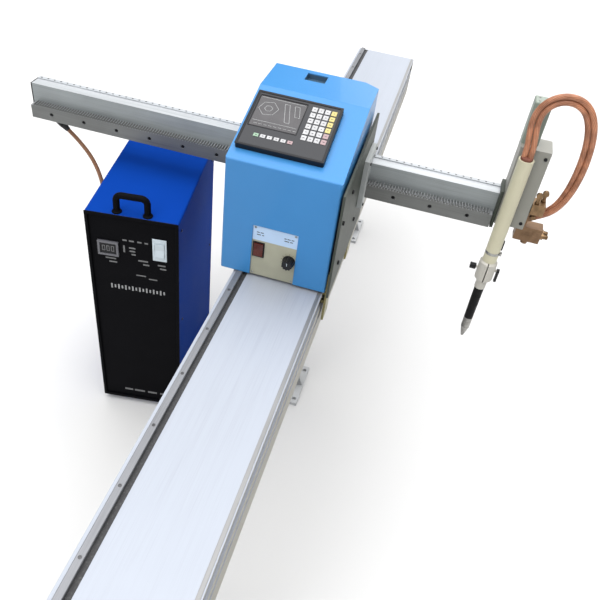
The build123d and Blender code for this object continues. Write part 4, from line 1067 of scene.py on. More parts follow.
@dataclass(frozen=True)
class Face:
    """A flat face of the machine, with its own across, up and outward directions."""

    origin: Vector
    outward: Vector
    up: Vector = UP

    @property
    def matrix(self) -> Matrix:
        """Give the turn and place that stand a piece on the face.

        Returns:
            The matrix that puts a piece at the face's origin.
        """
        out = self.outward.normalized()
        across = self.up.cross(out).normalized()
        turn = Matrix((across, out.cross(across), out)).transposed()
        return Matrix.Translation(self.origin) @ turn.to_4x4()

    def at(self, across: float, up: float, out: float = 0.0) -> Matrix:
        """Give a place by its distance across, up and out of the face."""
        return self.matrix @ Matrix.Translation((across, up, out))

    def corners(self, across: Pair, up: Pair) -> list[Matrix]:
        """Give the places at the corners of a rectangle on the face."""
        return [self.at(u, v) for u in across for v in up]


@dataclass(frozen=True)
class Box:
    """The upright box round one of the frame's nodes at rest."""

    low: Vector
    high: Vector

    @classmethod
    def of(cls, node: str) -> "Box":
        """Give the box of a node."""
        return cls(*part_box(node))

    @property
    def middle(self) -> Vector:
        """Give the box's middle."""
        return (self.low + self.high) / 2

    def reach(self, way: Vector) -> float:
        """Give how far the box reaches from its middle, along one of the frame's directions."""
        return sum(abs(part) * side / 2 for part, side in zip(way, self.high - self.low))

    def side(self, outward: Vector, up: Vector = UP) -> Face:
        """Give one side of the box, with its origin in the side's middle."""
        return Face(self.middle + outward * self.reach(outward), outward, up)

    def plane(self, outward: Vector) -> Face:
        """Give the plane of one upright side, with its origin on the frame's own axis."""
        return Face(outward * (self.middle.dot(outward) + self.reach(outward)), outward)

    def corners(self, outward: Vector, inset: Pair, up: Vector = UP) -> list[Matrix]:
        """Give the places near the corners of one side.

        Args:
            outward: The way that the side looks.
            inset: How far the places are drawn in, across and up.
            up: The side's own up direction.

        Returns:
            The four places.
        """
        across = self.reach(up.cross(outward)) - inset[0]
        rise = self.reach(up) - inset[1]
        return self.side(outward, up).corners((-across, across), (-rise, rise))


class Hardware:
    """Screws, outlets and bars, modelled about the origin with the head on +Z.

    The values below are shares of a head's radius and height.
    """

    SOCKET_CROWN = 0.12
    SOCKET_KEY = 0.55
    SOCKET_FLOOR = 0.45
    BUTTON_RINGS = ((1.0, 0.0), (1.0, 0.35), (0.86, 0.75), (0.5, 1.0))
    CROSS_LENGTH = 0.95
    CROSS_WIDTH = 0.24
    WASHER_RINGS = ((1.5, 0.0), (1.5, 0.2))
    WASHER_EDGE = 0.05
    HEXAGON_HEIGHT = 0.7
    HEXAGON_CROWN = 0.1
    RIVET_RINGS = ((1.0, 0.0), (1.0, 0.5), (0.7, 1.0))
    OUTLET_RINGS = ((1.0, 0.0), (1.0, 0.14), (0.76, 0.18), (0.76, 0.7), (0.6, 0.7), (0.6, 0.3), (0.2, 0.3))

    @staticmethod
    def turned(name: str, rings: Profile, radius: float, height: float, sides: int = 32) -> Piece:
        """Turn a piece from rings that are shares of its radius and height."""
        return Bench.lathe(name, [(radius * size, height * rise) for size, rise in rings], sides)

    @classmethod
    def socket(cls, radius: float, height: float) -> Piece:
        """Model a cap screw's head with a hexagonal socket.

        Args:
            radius: The head's radius.
            height: Its height.

        Returns:
            The screw's head.
        """
        head = Bench.rod("socket_screw", radius, height * (1.0 - cls.SOCKET_CROWN))
        Bench.crown(head, radius * cls.SOCKET_CROWN, height * cls.SOCKET_CROWN)
        key = Bench.rod("socket_key", radius * cls.SOCKET_KEY, height, sides=6)
        Bench.settle(key, Matrix.Translation(UP * height * cls.SOCKET_FLOOR))
        return Bench.smooth(Bench.cut(head, key))

    @classmethod
    def button(cls, radius: float, height: float) -> Piece:
        """Model a low domed screw head with a cross recess.

        Args:
            radius: The head's radius.
            height: Its height.

        Returns:
            The screw's head.
        """
        head = cls.turned("button_screw", cls.BUTTON_RINGS, radius, height, sides=20)
        length, width = radius * cls.CROSS_LENGTH, radius * cls.CROSS_WIDTH
        for size in ((length, width, height), (width, length, height)):
            Bench.cut(head, Bench.block("cross_key", size, (0.0, 0.0, height)))
        return Bench.smooth(head)

    @classmethod
    def hexagon(cls, radius: float, height: float) -> Piece:
        """Model a hexagonal bolt head on a washer.

        Args:
            radius: The head's radius over its corners.
            height: The height of head and washer.

        Returns:
            The bolt's head.
        """
        washer = cls.turned("washer", cls.WASHER_RINGS, radius, height, sides=28)
        Bench.ease(washer, height * cls.WASHER_EDGE, segments=1)
        head = Bench.rod("hexagon_head", radius, height * cls.HEXAGON_HEIGHT, sides=6)
        Bench.crown(head, radius * cls.HEXAGON_CROWN, height * cls.HEXAGON_CROWN)
        Bench.settle(head, Matrix.Translation(UP * height * cls.WASHER_RINGS[-1][1]))
        return Bench.join([washer, head], "hexagon_bolt")

    @classmethod
    def rivet(cls, radius: float, height: float) -> Piece:
        """Model a flat rivet's head."""
        return cls.turned("rivet", cls.RIVET_RINGS, radius, height, sides=12)

    @classmethod
    def outlet(cls, radius: float) -> Piece:
        """Model a round outlet: a flange with a collar and a sunk core."""
        return cls.turned("outlet", cls.OUTLET_RINGS, radius, radius)

    @staticmethod
    def bar(size: Point, name: str = "bar") -> Piece:
        """Model a thin eased bar that stands on the origin, such as a printed dash."""
        return Bench.ease(Bench.block(name, size, (0.0, 0.0, size[2] / 2)), size[2] / 4, segments=1)

    @classmethod
    def dashes(cls, name: str, face: Face, dashes: Sequence[Dash], height: float = 0.0003) -> Piece:
        """Model a group of flat printed dashes on a face.

        Args:
            name: The group's name.
            face: The face that they lie on.
            dashes: Their places and sizes.
            height: How far they stand out.

        Returns:
            The group as one piece.
        """
        bars = []
        for across, up, width, rise in dashes:
            bar = cls.bar((width * MM, rise * MM, height))
            bars.append(Bench.settle(bar, face.at(across * MM, up * MM)))
        return Bench.join(bars, name)


# Finishes of this machine

# Its top colour is painted light: the rail's level faces take a bluer colour than its sides.
RAIL_METAL = DrawnMetal(
    "rail_metal", (0.36, 0.345, 0.3), roughness=0.5, contrast=0.12, metal=0.2, top=(0.335, 0.36, 0.41)
)
GUIDE_METAL = DrawnMetal("guide_metal", (0.22, 0.225, 0.24), roughness=0.45)
STRIP_METAL = DrawnMetal("strip_metal", (0.26, 0.26, 0.26), roughness=0.45)
# A dark strip laid in the rail's groove as painted shade.
GROOVE_SHADE = SoftRubber("groove_shade_strip_skin", (0.03, 0.03, 0.032))
STAND_PAINT = PowderCoat("stand_paint_coat", (0.4, 0.41, 0.42), roughness=0.44, gloss=0.3)
COVER_PAINT = PowderCoat("cover_paint_coat", (0.042, 0.205, 0.47), edge=0.0016, gloss=0.25)
TRAY_PAINT = PowderCoat("tray_paint_coat", (0.04, 0.09, 0.15), roughness=0.4)
PANEL_PAINT = BandedPaint("panel_paint", (0.35, 0.345, 0.26))
# Dark olive steel, its colour darkened further as painted shade for the carriage's shaded right side.
PLATE_METAL = DrawnMetal(
    "plate_metal", (0.072, 0.08, 0.07), grain=Axis.Z, roughness=0.5, metal=0.25, gloss=0.15,
    tint=(0.056, 0.064, 0.053),
)
BASE_METAL = DrawnMetal("base_metal", (0.3, 0.31, 0.32), grain=Axis.X, roughness=0.4)
BRACKET_METAL = DrawnMetal("bracket_metal", (0.28, 0.24, 0.11), grain=Axis.Z, tint=(0.2, 0.21, 0.11))
ROLLER_METAL = TurnedMetal("roller_metal", (0.5, 0.51, 0.52))
MOTOR_PAINT = PowderCoat("motor_paint_coat", (0.02, 0.02, 0.022), roughness=0.4)
WHEEL_RUBBER = SoftRubber("wheel_rubber_skin", (0.022, 0.022, 0.022))
# Its top colour is a painted highlight: level faces, such as the rack's tooth tips, are painted lighter.
GEAR_METAL = DrawnMetal(
    "gear_metal", (0.17, 0.175, 0.17), grain=Axis.X, edge=0.0003, metal=0.4, gloss=0.3,
    top=(0.34, 0.35, 0.36),
)
GUIDE_PLASTIC = MouldedPlastic("guide_plastic", (0.34, 0.36, 0.36), roughness=0.4)
DRIVER_METAL = DrawnMetal("driver_metal", (0.5, 0.51, 0.53), grain=Axis.X)
# Its top colour is a painted highlight: the beam's level faces are painted lighter.
BEAM_METAL = DrawnMetal(
    "beam_metal", (0.3, 0.325, 0.33), grain=Axis.X, roughness=0.46, metal=0.35, top=(0.47, 0.49, 0.51)
)
BEAM_TRIM = MouldedPlastic("beam_trim", (0.4, 0.42, 0.44))
BLACK_PLASTIC = MouldedPlastic("black_plastic", (0.01, 0.01, 0.012), gloss=0.25)
KNOB_PLASTIC = MouldedPlastic("knob_plastic", (0.01, 0.01, 0.011), gloss=0.3, roughness=0.38)
# Its top colour is a painted sheen: the console's level face is painted grey on the black plastic.
CONSOLE_PLASTIC = MouldedPlastic(
    "console_plastic", (0.006, 0.008, 0.012), gloss=0.25, roughness=0.42, top=(0.036, 0.037, 0.041)
)
RED_PLASTIC = MouldedPlastic("red_plastic", (0.08, 0.016, 0.01), roughness=0.25)
WHITE_PLASTIC = MouldedPlastic("white_plastic", (0.5, 0.57, 0.62), roughness=0.3)
GREY_PLASTIC = MouldedPlastic("grey_plastic", (0.11, 0.11, 0.125), roughness=0.4)
SCREEN = ScreenGlass("screen_face", (0.03, 0.029, 0.032), gloss=0.35, glow=(0.075, 0.07, 0.075))
METER_GLASS = ScreenGlass("meter_glass", (0.004, 0.004, 0.005), gloss=0.2, glow=(0.014, 0.014, 0.017))
KEY_FILM = KeyFilm("key_film", (0.46, 0.46, 0.47), edge=0.0005, gloss=0.3)
PRINT = MouldedPlastic("pale_print", (0.3, 0.305, 0.31), roughness=0.5, gloss=0.2)
FAINT_PRINT = MouldedPlastic("faint_print", (0.15, 0.152, 0.155), roughness=0.5, gloss=0.2)
DARK_PRINT = MouldedPlastic("dark_print", (0.05, 0.05, 0.06), roughness=0.5, gloss=0.2)
LIFTER_PAINT = PowderCoat("lifter_paint_coat", (0.25, 0.248, 0.22), roughness=0.44, gloss=0.3)
COLUMN_PAINT = PowderCoat("column_paint_coat", (0.22, 0.26, 0.22), roughness=0.44, gloss=0.3)
BRASS = TurnedMetal("brass_metal", (0.31, 0.2, 0.11), roughness=0.45)
BRONZE = TurnedMetal("bronze_metal", (0.24, 0.15, 0.09), roughness=0.45)
TORCH_PAINT = PowderCoat("torch_paint_coat", (0.54, 0.513, 0.374), roughness=0.42, gloss=0.3)
CLAMP_PAINT = PowderCoat("clamp_paint_coat", (0.46, 0.445, 0.4), roughness=0.42, gloss=0.3)
COLLAR_RUBBER = SoftRubber("collar_rubber_skin", (0.16, 0.05, 0.03), bloom=(0.26, 0.12, 0.08))
INSULATOR = MouldedPlastic("insulator_plastic", (0.006, 0.006, 0.006), roughness=0.36, gloss=0.12)
NOZZLE_METAL = TurnedMetal("nozzle_metal", (0.36, 0.35, 0.33))
HOSE_COVER = WrappedHose("hose_cover", (0.5, 0.225, 0.125), gloss=0.3)
LEAD_SKIN = SkinnedLead("lead_skin", (0.26, 0.13, 0.07), gloss=0.3)
UNIT_PAINT = PowderCoat(
    "unit_paint_coat", (0.003, 0.036, 0.245), edge=0.0016, roughness=0.46, gloss=0.005, coat=0.0
)
UNIT_PLASTIC = MouldedPlastic("unit_plastic", (0.0045, 0.0045, 0.0055), roughness=0.5, gloss=0.02)
FOOT_RUBBER = SoftRubber("foot_rubber_skin", (0.02, 0.02, 0.02))
SCREW_BLACK = TurnedMetal("screw_black", (0.035, 0.035, 0.037), roughness=0.42)
SCREW_GREY = TurnedMetal("screw_grey", (0.13, 0.13, 0.135), roughness=0.42)
SCREW_ZINC = TurnedMetal("screw_zinc", (0.42, 0.42, 0.4))


# Sub-assemblies


class Workshop:
    """Keeps the frame's nodes, and makes each finish once."""

    def __init__(self, nodes: Mapping[str, Piece]) -> None:
        """Take over the frame's nodes by name."""
        self.nodes = nodes
        self.materials: dict[str, bpy.types.Material] = {}

    def coat(self, piece: Piece, finish: Finish) -> None:
        """Put a finish on a piece, making its material on first use.

        Args:
            piece: The piece or node.
            finish: Its finish.
        """
        if finish.name not in self.materials:
            self.materials[finish.name] = finish.material()
        piece.data.materials.clear()
        piece.data.materials.append(self.materials[finish.name])


@dataclass
class Assembly:
    """A sub-assembly: the body that carries its pieces, and the finishes of its nodes."""

    BODY: ClassVar[str]
    FINISHES: ClassVar[Mapping[str, Finish]] = {}

    shop: Workshop

    def build(self) -> None:
        """Model the pieces of the sub-assembly."""
        raise NotImplementedError

    def dress(self) -> None:
        """Put the finishes on the nodes of the sub-assembly."""
        for name, finish in self.FINISHES.items():
            self.shop.coat(self.shop.nodes[name], finish)
            LOG.info("finish %s on %s", finish.name, name)

    def put(self, piece: Piece, finish: Finish, slot: str, body: str = "") -> Piece:
        """Finish a new piece and let it ride on a body.

        Args:
            piece: The piece, in its place.
            finish: Its finish.
            slot: The record's material slot that it belongs to. Not used.
            body: The body that carries it, where that isn't the sub-assembly's own.

        Returns:
            The same piece.
        """
        carrier = body or self.BODY
        self.shop.coat(piece, finish)
        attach(piece, carrier)
        LOG.info("piece %s rides on %s", piece.name, carrier)
        return piece

    def fit(self, name: str, master: Piece, places: Iterable[Matrix], finish: Finish, slot: str) -> Piece:
        """Copy a modelled piece to several places and put the group there."""
        return self.put(Bench.repeat(master, places, name), finish, slot)


@dataclass
class Rail(Assembly):
    """The rail with its guide, edge strip, end plates and stands."""

    BODY = "rail"
    STANDS = ("stand_near", "stand_middle", "stand_far")
    FINISHES = {
        "rail_beam": RAIL_METAL,
        "rail_ends": RAIL_METAL,
        "guide_rail": GUIDE_METAL,
        "edge_strip": STRIP_METAL,
        **dict.fromkeys(STANDS, STAND_PAINT),
    }

    guide_pitch: float = 0.15
    guide_head: Pair = (0.0036, 0.0008)
    # Width and height of the dark strip of painted shade in the groove, and its gap from the guide.
    shade_strip: Pair = (0.0114, 0.001)
    shade_strip_gap: float = 0.0003
    end_inset: Pair = (0.026, 0.02)
    end_head: Pair = (0.006, 0.0008)
    # How far the bolts lie from a stand's middle, across the rail and along it.
    bolt_reach: Pair = (0.056, 0.07)
    bolt_head: Pair = (0.008, 0.007)
    stand_plate: float = 0.012

    def build(self) -> None:
        """Model the rail's screws and the dark strip of painted shade in its groove."""
        self.guide_screws()
        self.groove_shade_strip()
        self.end_screws()
        self.stand_bolts()

    def guide_screws(self) -> None:
        """Model the row of screws that holds the guide down."""
        guide = Box.of("guide_rail")
        top = guide.side(UP, BACK)
        count = int((guide.high.y - guide.low.y) / self.guide_pitch)
        places = [top.at(0.0, along) for along in centred(count, self.guide_pitch)]
        self.fit("guide_screws", Hardware.socket(*self.guide_head), places, SCREW_GREY, "guide_steel")

    def groove_shade_strip(self) -> None:
        """Model the dished dark strip beside the guide, painted shade on the floor of the groove."""
        guide = Box.of("guide_rail")
        width, height = self.shade_strip
        middle = (guide.high.x + self.shade_strip_gap + width / 2, guide.middle.y, guide.low.z + height / 2)
        strip = Bench.block("groove_shade_strip", (width, guide.high.y - guide.low.y, height), middle)
        Bench.crown(strip, width / 6, -height / 3)
        self.put(Bench.smooth(strip), GROOVE_SHADE, "guide_steel")

    def end_screws(self) -> None:
        """Model the four screws in each end plate."""
        plates = Box.of("rail_ends")
        places = plates.corners(-BACK, self.end_inset) + plates.corners(BACK, self.end_inset)
        head = Hardware.button(*self.end_head)
        self.fit("end_plate_screws", head, places, SCREW_ZINC, "rail_aluminium")

    def stand_bolts(self) -> None:
        """Model the bolts that hold the rail to each stand's top plate."""
        across, along = self.bolt_reach
        places = []
        for name in self.STANDS:
            top = Box.of(name).side(UP)
            under = Face(top.origin - UP * self.stand_plate, -UP, BACK)
            places += under.corners((-across, across), (-along, along))
        self.fit("stand_bolts", Hardware.hexagon(*self.bolt_head), places, SCREW_ZINC, "stand_paint")


@dataclass
class Carriage(Assembly):
    """The driven carriage: its cover, side plate, rollers, drive and front switch panel."""

    BODY = "carriage"
    FINISHES = {
        "cover": COVER_PAINT,
        "top_tray": TRAY_PAINT,
        "base_plate": BASE_METAL,
        "bearing_blocks": BASE_METAL,
        "roller_brackets": BRACKET_METAL,
        "guide_roller_front": ROLLER_METAL,
        "guide_roller_back": ROLLER_METAL,
        "side_plate": PLATE_METAL,
        "switch_panel": PANEL_PAINT,
        "main_switch": RED_PLASTIC,
        "speed_knob": KNOB_PLASTIC,
        "drive_motor": MOTOR_PAINT,
        "drive_wheel": WHEEL_RUBBER,
        "motor_driver": DRIVER_METAL,
        "motor_bracket": BASE_METAL,
        "beam_motor": MOTOR_PAINT,
        "beam_pinion": GEAR_METAL,
        "beam_guide_right": GUIDE_PLASTIC,
        "beam_guide_left": GUIDE_PLASTIC,
    }

    plate_bolts: Profile = ((-0.2, 0.96), (-0.065, 0.792), (-0.28, 0.92), (-0.237, 0.769))
    plate_head: Pair = (0.0055, 0.0045)
    guide_inset: Pair = (0.009, 0.009)
    guide_head: Pair = (0.004, 0.003)
    cover_screw_height: float = 0.017
    cover_screw_inset: float = 0.03
    cover_head: Pair = (0.0045, 0.0026)
    outlets: Profile = ((-0.115, 0.78), (-0.068, 0.78))
    outlet_radius: float = 0.014
    # Left, right, lower and upper edge of the opening that shows the switch panel.
    cut_out: tuple[float, float, float, float] = (-0.076, 0.04, 0.708, 0.862)
    panel_inset: float = 0.0065
    panel_head: Pair = (0.003, 0.0016)
    rocker_frame: Pair = (0.031, 0.0465)
    rocker_border: float = 0.0026
    rocker_height: float = 0.002
    dial_radius: float = 0.0182
    dial_tick: Point = (0.0008, 0.003, 0.0003)
    dial_ticks: int = 11
    dial_step: float = 28.0
    pointer: Point = (0.0014, 0.0085, 0.0004)
    dashes: tuple[Dash, ...] = (
        (-62, 842, 7, 2.4), (-52, 842, 8, 2.4), (-60, 835, 10, 2.4), (-49, 835, 5, 2.4),
        (8, 842, 6, 2.4), (17, 842, 8, 2.4), (27, 842, 7, 2.4), (12, 835, 12, 2.4), (24, 835, 7, 2.4),
    )

    @property
    def panel(self) -> Face:
        """Give the front face of the switch panel, with its origin at X 0 on the floor."""
        return Box.of("switch_panel").plane(-BACK)

    def build(self) -> None:
        """Model the carriage's screws and outlets and the fittings of its switch panel."""
        self.side_bolts()
        self.guide_bolts()
        self.cover_screws()
        self.rear_outlets()
        self.panel_screws()
        self.rocker_surround()
        self.speed_dial()
        self.knob_pointer()
        marks = Hardware.dashes("switch_panel_marks", self.panel, self.dashes)
        self.put(marks, DARK_PRINT, "panel_cream")

    def side_bolts(self) -> None:
        """Model the cap screws of the side plate."""
        face = Box.of("side_plate").plane(RIGHT)
        places = [face.at(y, z) for y, z in self.plate_bolts]
        self.fit("side_plate_bolts", Hardware.socket(*self.plate_head), places, SCREW_BLACK, "plate_steel")

    def guide_bolts(self) -> None:
        """Model the cap screws at the corners of the beam's outer guide."""
        places = Box.of("beam_guide_right").corners(RIGHT, self.guide_inset)
        self.fit("beam_guide_bolts", Hardware.socket(*self.guide_head), places, SCREW_BLACK, "guide_block")

    def cover_screws(self) -> None:
        """Model the screws along the cover's lower edge, on its left side and its back."""
        cover = Box.of("cover")
        height, inset = cover.low.z + self.cover_screw_height, self.cover_screw_inset
        left, rear = cover.plane(-RIGHT), cover.plane(BACK)
        # A face seen from outside counts its across distance the other way on these two sides.
        places = [left.at(-y, height) for y in (cover.low.y + inset, cover.middle.y, cover.high.y - inset)]
        places += [rear.at(-x, height) for x in (cover.low.x + inset, cover.middle.x)]
        self.fit("cover_screws", Hardware.button(*self.cover_head), places, SCREW_ZINC, "cover_paint")

    def rear_outlets(self) -> None:
        """Model the two round cable outlets on the cover's back."""
        rear = Box.of("cover").plane(BACK)
        places = [rear.at(-x, z) for x, z in self.outlets]
        self.fit("rear_outlets", Hardware.outlet(self.outlet_radius), places, BLACK_PLASTIC, "knob_black")

    def panel_screws(self) -> None:
        """Model the four small screws at the switch panel's corners."""
        left, right, bottom, top = self.cut_out
        inset = self.panel_inset
        places = self.panel.corners((left + inset, right - inset), (bottom + inset, top - inset))
        self.fit("switch_panel_screws", Hardware.button(*self.panel_head), places, SCREW_ZINC, "panel_cream")

    def rocker_surround(self) -> None:
        """Model the frame round the main rocker switch."""
        middle = Box.of("main_switch").middle
        frame = Bench.frame("rocker_surround", self.rocker_frame, self.rocker_border, self.rocker_height)
        self.put(Bench.settle(frame, self.panel.at(middle.x, middle.z)), BLACK_PLASTIC, "knob_black")

    def speed_dial(self) -> None:
        """Model the printed scale round the speed knob, where the cut-out leaves it in view."""
        middle = Box.of("speed_knob").middle
        length = self.dial_tick[1]
        lift = Matrix.Translation((0.0, self.dial_radius + length / 2, 0.0))
        places = []
        for degrees in centred(self.dial_ticks, self.dial_step):
            angle = math.radians(degrees)
            if middle.x + (self.dial_radius + length) * math.sin(angle) < self.cut_out[1]:
                turn = Matrix.Rotation(-angle, 4, "Z")
                places.append(self.panel.at(middle.x, middle.z) @ turn @ lift)
        self.fit("speed_dial", Hardware.bar(self.dial_tick), places, BLACK_PLASTIC, "panel_cream")

    def knob_pointer(self) -> None:
        """Model the white line on the speed knob's face, which turns with the knob."""
        line = Hardware.bar(self.pointer, "knob_pointer")
        Bench.settle(line, Box.of("speed_knob").side(-BACK).at(0.0, self.pointer[1] / 2))
        self.put(line, WHITE_PLASTIC, "key_white", "speed_knob_body")


@dataclass
class Console(Assembly):
    """The tilted operating console: its rim, its display and its keys."""

    BODY = "carriage"
    FINISHES = {
        "console_case": CONSOLE_PLASTIC,
        "console_screen": SCREEN,
        "console_keys": KEY_FILM,
    }

    centre: Point = (-0.038, -0.1715, 1.0675)
    # Rise and run of the console's slope.
    slope: Pair = (0.075, 0.247)
    thickness: float = 0.014
    size: Pair = (0.214, 0.186)
    rim: Pair = (0.006, 0.0016)
    screen: Pair = (0.116, 0.104)
    screen_centre: Pair = (-0.038, 0.027)
    screen_frame: Pair = (0.0025, 0.0008)
    glass_sink: float = 0.001
    line: Pair = (0.0014, 0.0003)
    # Closed outlines on the display, in millimetres from its middle: the shapes of a plain cutting plan.
    outlines: tuple[Profile, ...] = (
        ((-4, 16), (-20, 35), (-43, 30), (-52, 8), (-36, -11), (-13, -6)),
        ((-18, 14), (-25, 21), (-34, 20), (-38, 10), (-31, 3), (-22, 4)),
        ((6, 38), (18, 38), (33, -22), (21, -22)),
        ((31, 38), (43, 38), (52, 2), (40, 2)),
    )
    # Half length of each rule across the display and the heights of the two, in millimetres.
    rule: float = 54.0
    rule_heights: Pair = (47.0, -33.0)
    # First dash, step and height of the row at the display's foot, in millimetres.
    foot_row: Point = (-48.0, 12.0, -43.0)
    foot_dash: float = 8.5
    key_pitch: Pair = (0.016, 0.0195)
    key_count: tuple[int, int] = (4, 6)
    key_centre: Pair = (0.065, 0.019)
    key_proud: float = 0.0012
    key_mark: Point = (0.0052, 0.0016, 0.0002)
    # Shares of a mark's length, taken in turn.
    mark_lengths: tuple[float, ...] = (1.0, 0.8, 0.6)
    soft_pitch: float = 0.0165
    soft_count: int = 6
    soft_centre: Pair = (-0.026, -0.054)

    @property
    def face(self) -> Face:
        """Give the console's front face, with its origin at the middle.

        Returns:
            The tilted face.
        """
        rise, run = Vector(self.slope).normalized()
        outward = Vector((0.0, -rise, run))
        return Face(Vector(self.centre) + outward * self.thickness, outward, Vector((0.0, run, rise)))

    def build(self) -> None:
        """Model the console's rims, the lines on its display and the marks on its keys."""
        rim = Bench.frame("console_rim", self.size, *self.rim)
        self.put(Bench.settle(rim, self.face.matrix), BLACK_PLASTIC, "console_black")
        border, height = self.screen_frame
        outer = (self.screen[0] + 2 * border, self.screen[1] + 2 * border)
        frame = Bench.frame("screen_frame", outer, border, height)
        self.put(Bench.settle(frame, self.face.at(*self.screen_centre)), BLACK_PLASTIC, "console_black")
        self.screen_lines()
        self.key_marks()

    def screen_lines(self) -> None:
        """Model the thin bright lines of the drawing on the display."""
        first, step, height = self.foot_row
        count = int(-2 * first / step) + 1
        starts = [first + step * place for place in range(count)]
        ends = [((start, height), (start + self.foot_dash, height)) for start in starts]
        ends += [((-self.rule, rise), (self.rule, rise)) for rise in self.rule_heights]
        for outline in self.outlines:
            ends += zip(outline, outline[1:] + outline[:1])
        lines = []
        for near, far in ends:
            start, end = Vector((*near, 0.0)) * MM, Vector((*far, 0.0)) * MM
            run = end - start
            turn = Matrix.Rotation(math.atan2(run.y, run.x), 4, "Z")
            line = Hardware.bar((run.length, *self.line))
            lines.append(Bench.settle(line, Matrix.Translation((start + end) / 2) @ turn))
        drawing = Bench.join(lines, "screen_drawing")
        Bench.settle(drawing, self.face.at(*self.screen_centre, -self.glass_sink))
        self.put(drawing, PRINT, "screen_glass")

    def key_marks(self) -> None:
        """Model a plain dark dash on each key, and on those under the display, in three lengths."""
        columns, rows = (centred(count, pitch) for count, pitch in zip(self.key_count, self.key_pitch))
        across, up = self.key_centre
        keys = [(across + column, up + row) for column in columns for row in rows]
        across, up = self.soft_centre
        keys += [(across + step, up) for step in centred(self.soft_count, self.soft_pitch)]
        places = [
            self.face.at(*key, self.key_proud) @ Matrix.Scale(share, 4, RIGHT)
            for key, share in zip(keys, cycle(self.mark_lengths))
        ]
        self.fit("key_marks", Hardware.bar(self.key_mark), places, DARK_PRINT, "key_white")


@dataclass
class Beam(Assembly):
    """The sliding beam with its rack, top strip and end cap."""

    BODY = "beam_arm"
    FINISHES = {
        "beam": BEAM_METAL,
        "beam_rack": GEAR_METAL,
        "beam_strip": BEAM_TRIM,
        "beam_cap": BLACK_PLASTIC,
        "lead_gland": BLACK_PLASTIC,
    }

    bolts: int = 13
    bolt_pitch: float = 0.1
    bolt_rise: float = 0.02
    seat_depth: float = 0.006
    bolt_head: Pair = (0.0047, 0.0052)
    strip_pitch: float = 0.02
    rivet: Pair = (0.0028, 0.0004)
    cap_inset: Pair = (0.01, 0.012)
    cap_head: Pair = (0.0035, 0.001)

    def build(self) -> None:
        """Model the rack's bolts, the strip's rivets and the cap's screws."""
        self.rack_bolts()
        self.strip_rivets()
        places = Box.of("beam_cap").corners(-RIGHT, self.cap_inset)
        self.fit("beam_cap_screws", Hardware.button(*self.cap_head), places, SCREW_ZINC, "cap_black")

    def rack_bolts(self) -> None:
        """Model the cap screws in the seats of the rack's front."""
        rack = Box.of("beam_rack")
        seat = Vector((rack.middle.x, rack.low.y + self.seat_depth, rack.low.z + self.bolt_rise))
        places = [Face(seat, -BACK).at(step, 0.0) for step in centred(self.bolts, self.bolt_pitch)]
        self.fit("rack_bolts", Hardware.socket(*self.bolt_head), places, SCREW_BLACK, "gear_steel")

    def strip_rivets(self) -> None:
        """Model the row of small rivets along the beam's top strip."""
        strip = Box.of("beam_strip")
        top = Face(Vector((strip.low.x, strip.middle.y, strip.high.z)), UP, BACK)
        count = int((strip.high.x - strip.low.x) / self.strip_pitch)
        places = [top.at((step + 0.5) * self.strip_pitch, 0.0) for step in range(count)]
        self.fit("strip_rivets", Hardware.rivet(*self.rivet), places, SCREW_GREY, "beam_strip")


@dataclass
class Lifter(Assembly):
    """The torch lifter on the beam's end, with its gas manifold and hose block."""

    BODY = "beam_arm"
    VALVES = ("valve_handle_front", "valve_handle_back")
    FINISHES = {
        "lifter_mount": PLATE_METAL,
        "lifter_body": LIFTER_PAINT,
        "lifter_column": COLUMN_PAINT,
        "lift_screw": GEAR_METAL,
        "gas_manifold": BRASS,
        **dict.fromkeys(VALVES, BRASS),
        "hose_block": BRONZE,
    }

    screw_places: Profile = ((0.566, 1.062), (0.566, 0.872))
    screw_head: Pair = (0.0044, 0.0026)
    lid_inset: Pair = (0.011, 0.011)
    lid_head: Pair = (0.0028, 0.0016)
    nut: Pair = (0.0068, 0.005)
    stem_height: float = 0.008
    nipple_spread: float = 0.018
    block_half: float = 0.0215
    collar: float = 0.0465
    nipple_profile: Profile = (
        (0.009, 0.0), (0.009, 0.006), (0.006, 0.006), (0.006, 0.009), (0.0068, 0.0095),
        (0.0055, 0.014), (0.0066, 0.0145), (0.005, 0.019), (0.0035, 0.019), (0.0035, 0.012),
    )

    def build(self) -> None:
        """Model the lifter's screws and the gas fittings."""
        front = Box.of("lifter_body").plane(-BACK)
        places = [front.at(x, z) for x, z in self.screw_places]
        self.fit("lifter_screws", Hardware.socket(*self.screw_head), places, SCREW_BLACK, "lifter_grey")
        places = Box.of("lifter_column").corners(UP, self.lid_inset, BACK)
        self.fit("column_screws", Hardware.button(*self.lid_head), places, SCREW_ZINC, "column_grey")
        self.valve_nuts()
        self.nipples()

    def valve_nuts(self) -> None:
        """Model the gland nut at the foot of each valve's stem."""
        foot = Box.of("gas_manifold").high.z - self.stem_height
        stems = [Box.of(name).middle for name in self.VALVES]
        places = [Matrix.Translation((stem.x, stem.y, foot)) for stem in stems]
        radius, height = self.nut
        nut = Bench.ease(Bench.rod("gland_nut", radius, height, sides=6), height / 8)
        self.fit("valve_nuts", nut, places, BRASS, "valve_brass")

    def nipples(self) -> None:
        """Model the barbed gas nipples on the right of the hose block and the back of the manifold."""
        block, manifold = Box.of("hose_block"), Box.of("gas_manifold")
        level = block.high.z - self.collar - self.block_half
        right = Face(Vector((block.high.x, block.middle.y, level)), RIGHT)
        back = manifold.side(BACK).origin - UP * self.stem_height / 2
        places = [right.at(step, 0.0) for step in centred(2, self.nipple_spread)]
        places.append(Face(back, BACK).matrix)
        nipple = Bench.lathe("nipple", self.nipple_profile, sides=24)
        self.fit("gas_nipples", nipple, places, BRASS, "valve_brass")


